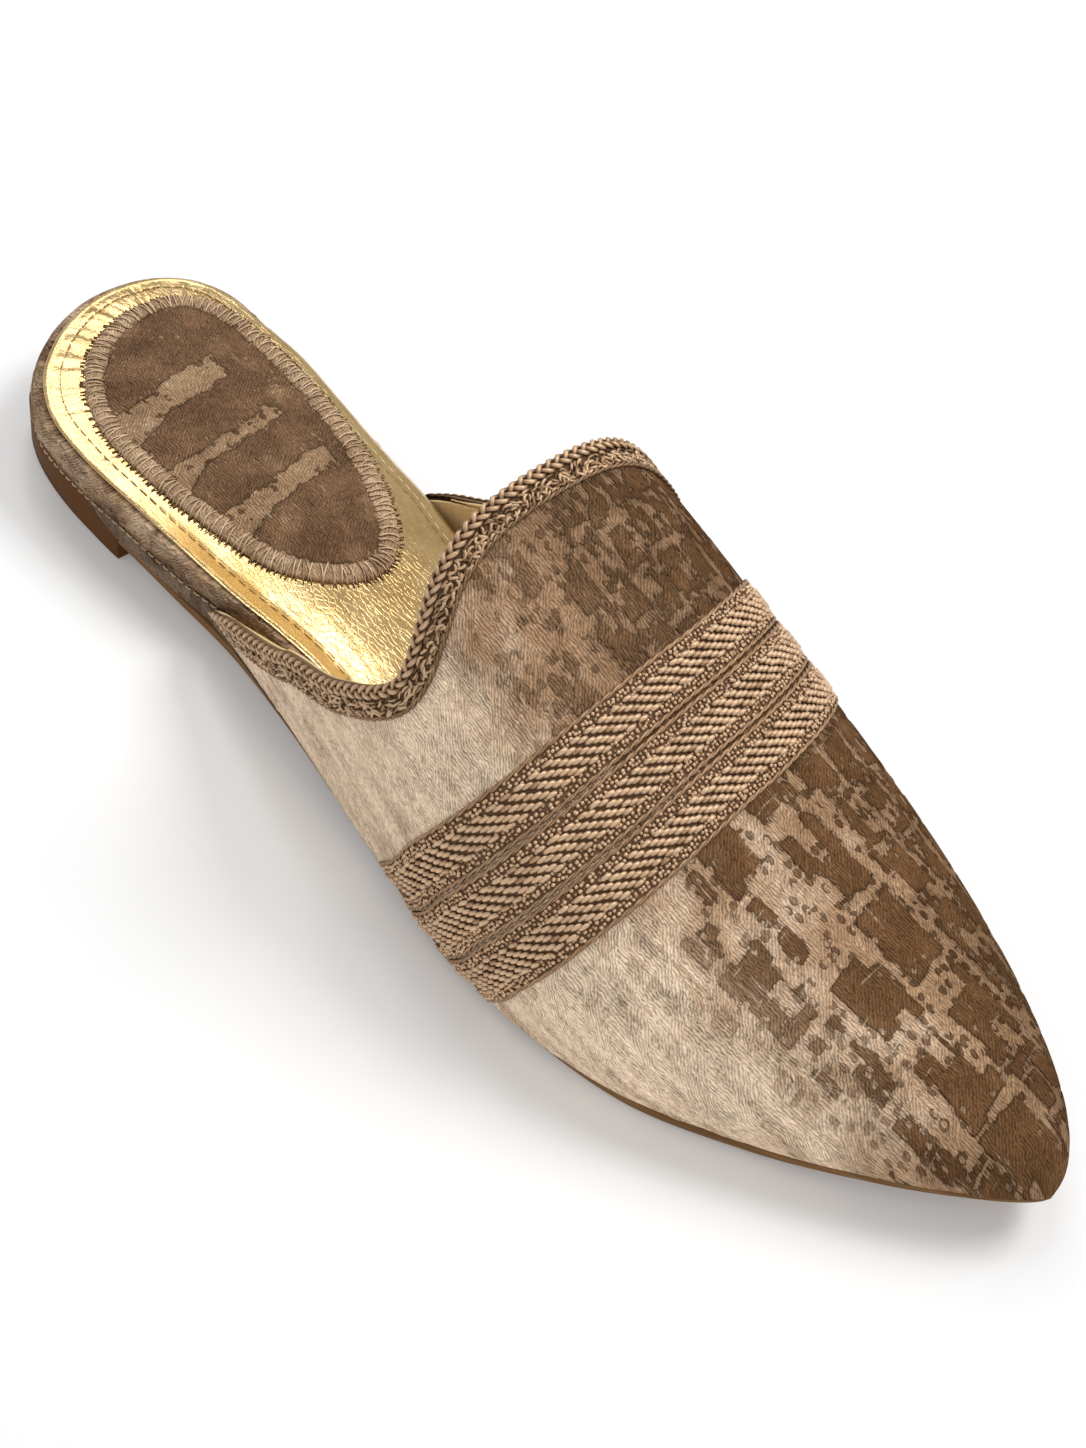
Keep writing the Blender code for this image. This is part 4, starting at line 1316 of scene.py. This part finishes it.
def seam_stitches(yarn, gilt):
    """Pale stitches under the roll's seam and the fine line of stitches inside the insole's rim."""
    parts = []
    pitch, long = 2.2, 1.5
    t = np.linspace(0, 1, 6)
    bow = np.sin(np.pi * t)
    x = np.arange(12, 96, pitch)[:, None] + long * t
    low, high = board(x)
    for column, sign in ((1, -1), (2, 1)):
        y = sign * (along(INSOLE, x, column) + 0.8 * roll_bulge(x) + 0.5 + 0.22 * bow)
        paths = np.stack([x, y, low + 0.18 * (high - low)], -1)
        parts.append(cords(paths, np.broadcast_to(UP, paths.shape), 0.2, 5))
    write_cords("seam_thread", parts, yarn)
    loop, around = plan_loop(GOLD, 2400)
    line = loop + inward_of(loop) * 3.4
    count = int(around / 2.9)
    at = (np.arange(count)[:, None] + 0.68 * t) / count * len(loop)
    path = np.stack([np.interp(at, np.arange(len(loop)), line[:, k]) for k in range(2)], -1)
    path = path[path[:, :, 0].max(axis=1) < 150]
    z = insole_height(path[..., 0]) - 0.02 + 0.1 * bow
    paths = np.concatenate([path, z[..., None]], -1)
    stitches = cords(paths, np.broadcast_to(UP, paths.shape), 0.14, 5)
    write_cords("insole_stitch_line", [stitches], gilt)


# Studio.

def metres(point):
    """A point on the last in the frame's place."""
    return (np.asarray(point, float) + SHIFT) / 1000


def camera():
    """The view: right and up turned by the roll, back along the line from the target to the eye."""
    a, e, r = (math.radians(v) for v in (VIEW_AZIMUTH, VIEW_ELEVATION, VIEW_ROLL))
    right = np.array([math.cos(a), math.sin(a), 0])
    up = np.array([-math.sin(a) * math.sin(e), math.cos(a) * math.sin(e), math.cos(e)])
    back = np.cross(right, up)
    across = math.cos(r) * right + math.sin(r) * up
    upright = math.cos(r) * up - math.sin(r) * right
    eye = metres(VIEW_TARGET + back * VIEW_DISTANCE)
    data = bpy.data.cameras.new("view")
    data.sensor_width, data.lens, data.clip_start = SENSOR, FOCAL_PIXELS / IMAGE_HEIGHT * SENSOR, 0.01
    seen = bpy.data.objects.new("view", data)
    columns = np.stack([across, upright, back, eye], axis=1)
    seen.matrix_world = Matrix([*columns.tolist(), (0, 0, 0, 1)])
    bpy.context.scene.collection.objects.link(seen)
    bpy.context.scene.camera = seen


def softbox(name, place, aim, size, power):
    """A square area light at a place in metres, turned to face a point."""
    data = bpy.data.lights.new(name, "AREA")
    data.shape, data.size, data.energy = "SQUARE", size, power
    lamp = bpy.data.objects.new(name, data)
    back = unit(np.array(place) - np.array(aim))
    side = unit(np.cross(UP, back))
    columns = np.stack([side, np.cross(back, side), back, np.array(place)], axis=1)
    lamp.matrix_world = Matrix([*columns.tolist(), (0, 0, 0, 1)])
    bpy.context.scene.collection.objects.link(lamp)


def studio():
    """Pale floor, white surroundings and four soft boxes, in metres and watts."""
    reach, below = 4.0, -0.0002
    corners = ((-reach, -reach), (reach, -reach), (reach, reach), (-reach, reach))
    mesh = bpy.data.meshes.new("floor")
    mesh.from_pydata([(*corner, below) for corner in corners], [], [(0, 1, 2, 3)])
    mesh.materials.append(pale_floor("floor_sheet"))
    floor = bpy.data.objects.new("floor", mesh)
    bpy.context.scene.collection.objects.link(floor)
    world = bpy.data.worlds.new("studio")
    world.use_nodes = True
    surroundings = world.node_tree.nodes["Background"]
    surroundings.inputs["Color"].default_value = (1, 1, 1, 1)
    surroundings.inputs["Strength"].default_value = 0.45
    bpy.context.scene.world = world
    softbox("over_arch", (0.22, 0.66, 0.9), (0, 0, 0.03), 0.48, 6.3)
    softbox("behind_heel", (-0.63, 0.24, 0.74), (-0.06, 0, 0.02), 0.4, 1.5)
    softbox("before_toe", (0.45, -0.75, 0.55), (0.03, 0, 0.03), 0.9, 1.6)
    softbox("over_waist", (-0.25, 0.22, 0.84), (-0.03, -0.015, 0.02), 0.18, 0.72)
    bpy.context.scene.view_settings.view_transform = "Standard"


def main():
    """The studio, the finishes, then the pieces from the upper down."""
    camera()
    studio()
    # in each velvet the shade colour is painted shade for low fade values; in the upper's the pale colour
    # is also partly painted sheen
    taupe = velvet("velvet_upper", (0.138, 0.068, 0.029), (0.20, 0.108, 0.052),
                   (0.43, 0.266, 0.156), (0.88, 0.68, 0.495))
    inner = velvet("velvet_heel_pad", (0.163, 0.092, 0.051), (0.19, 0.112, 0.062),
                   (0.36, 0.228, 0.132), (0.54, 0.38, 0.24))
    puffy = velvet("velvet_roll", (0.17, 0.097, 0.051), (0.24, 0.145, 0.083),
                   (0.39, 0.255, 0.156), (0.62, 0.47, 0.33))
    # painted shade: a darker, greyer copy of the velvet for the midsole wrap, which tucks under in shade
    strip = velvet("velvet_strip_shaded", (0.12, 0.083, 0.057), (0.16, 0.112, 0.078),
                   (0.23, 0.161, 0.11), (0.30, 0.22, 0.16))
    yarn = thread("braid_yarn", (0.05, 0.025, 0.012), (0.25, 0.143, 0.073), (0.68, 0.46, 0.28))
    tape = thread("collar_tape", (0.14, 0.078, 0.038), (0.16, 0.09, 0.045), (0.24, 0.15, 0.082), 0.7, 0.0)
    weave = thread("band_tape", (0.20, 0.115, 0.06), (0.22, 0.13, 0.07), (0.24, 0.14, 0.08), 0.7, 0.0)
    cord = thread("band_yarn", (0.10, 0.054, 0.027), (0.38, 0.226, 0.124), (0.76, 0.53, 0.34))
    whip = thread("whip_yarn", (0.12, 0.066, 0.031), (0.41, 0.262, 0.147), (0.78, 0.57, 0.37), 0.45, 0.1)
    # painted shade for the needle holes
    hole_shade_thread = thread("needle_hole_shade", (0.09, 0.05, 0.024), (0.14, 0.08, 0.04), (0.20, 0.12, 0.06), 0.7, 0.0)
    gilt = thread("gilt_yarn", (0.38, 0.25, 0.09), (0.62, 0.43, 0.20), (0.95, 0.75, 0.45), 0.3, 0.6)
    foil = gold_leather("gold_foil", 0.9, (0.69, 0.455, 0.185), (0.87, 0.63, 0.31))
    # painted reflection: the lining is a bright, nearly non-metallic copy of the gold, pale enough to
    # stand in for the reflections it would catch where it lies in shade
    lining = gold_leather("gold_lining_painted_bright", 0.1, (0.94, 0.67, 0.31), (1.0, 0.76, 0.40))
    brown = sole_leather("heel_leather_brown", (0.09, 0.037, 0.012), (0.145, 0.063, 0.023), 0.4)
    tan = sole_leather("sole_leather_tan", (0.16, 0.082, 0.034), (0.29, 0.165, 0.075), 0.45)
    upper(taupe, lining)
    collar_trim(yarn, tape, lining)
    vamp_bands(cord, weave)
    sole(brown, tan, strip)
    footbed(puffy)
    insole(foil)
    heel_pad(inner, whip, hole_shade_thread)
    seam_stitches(whip, gilt)


main()
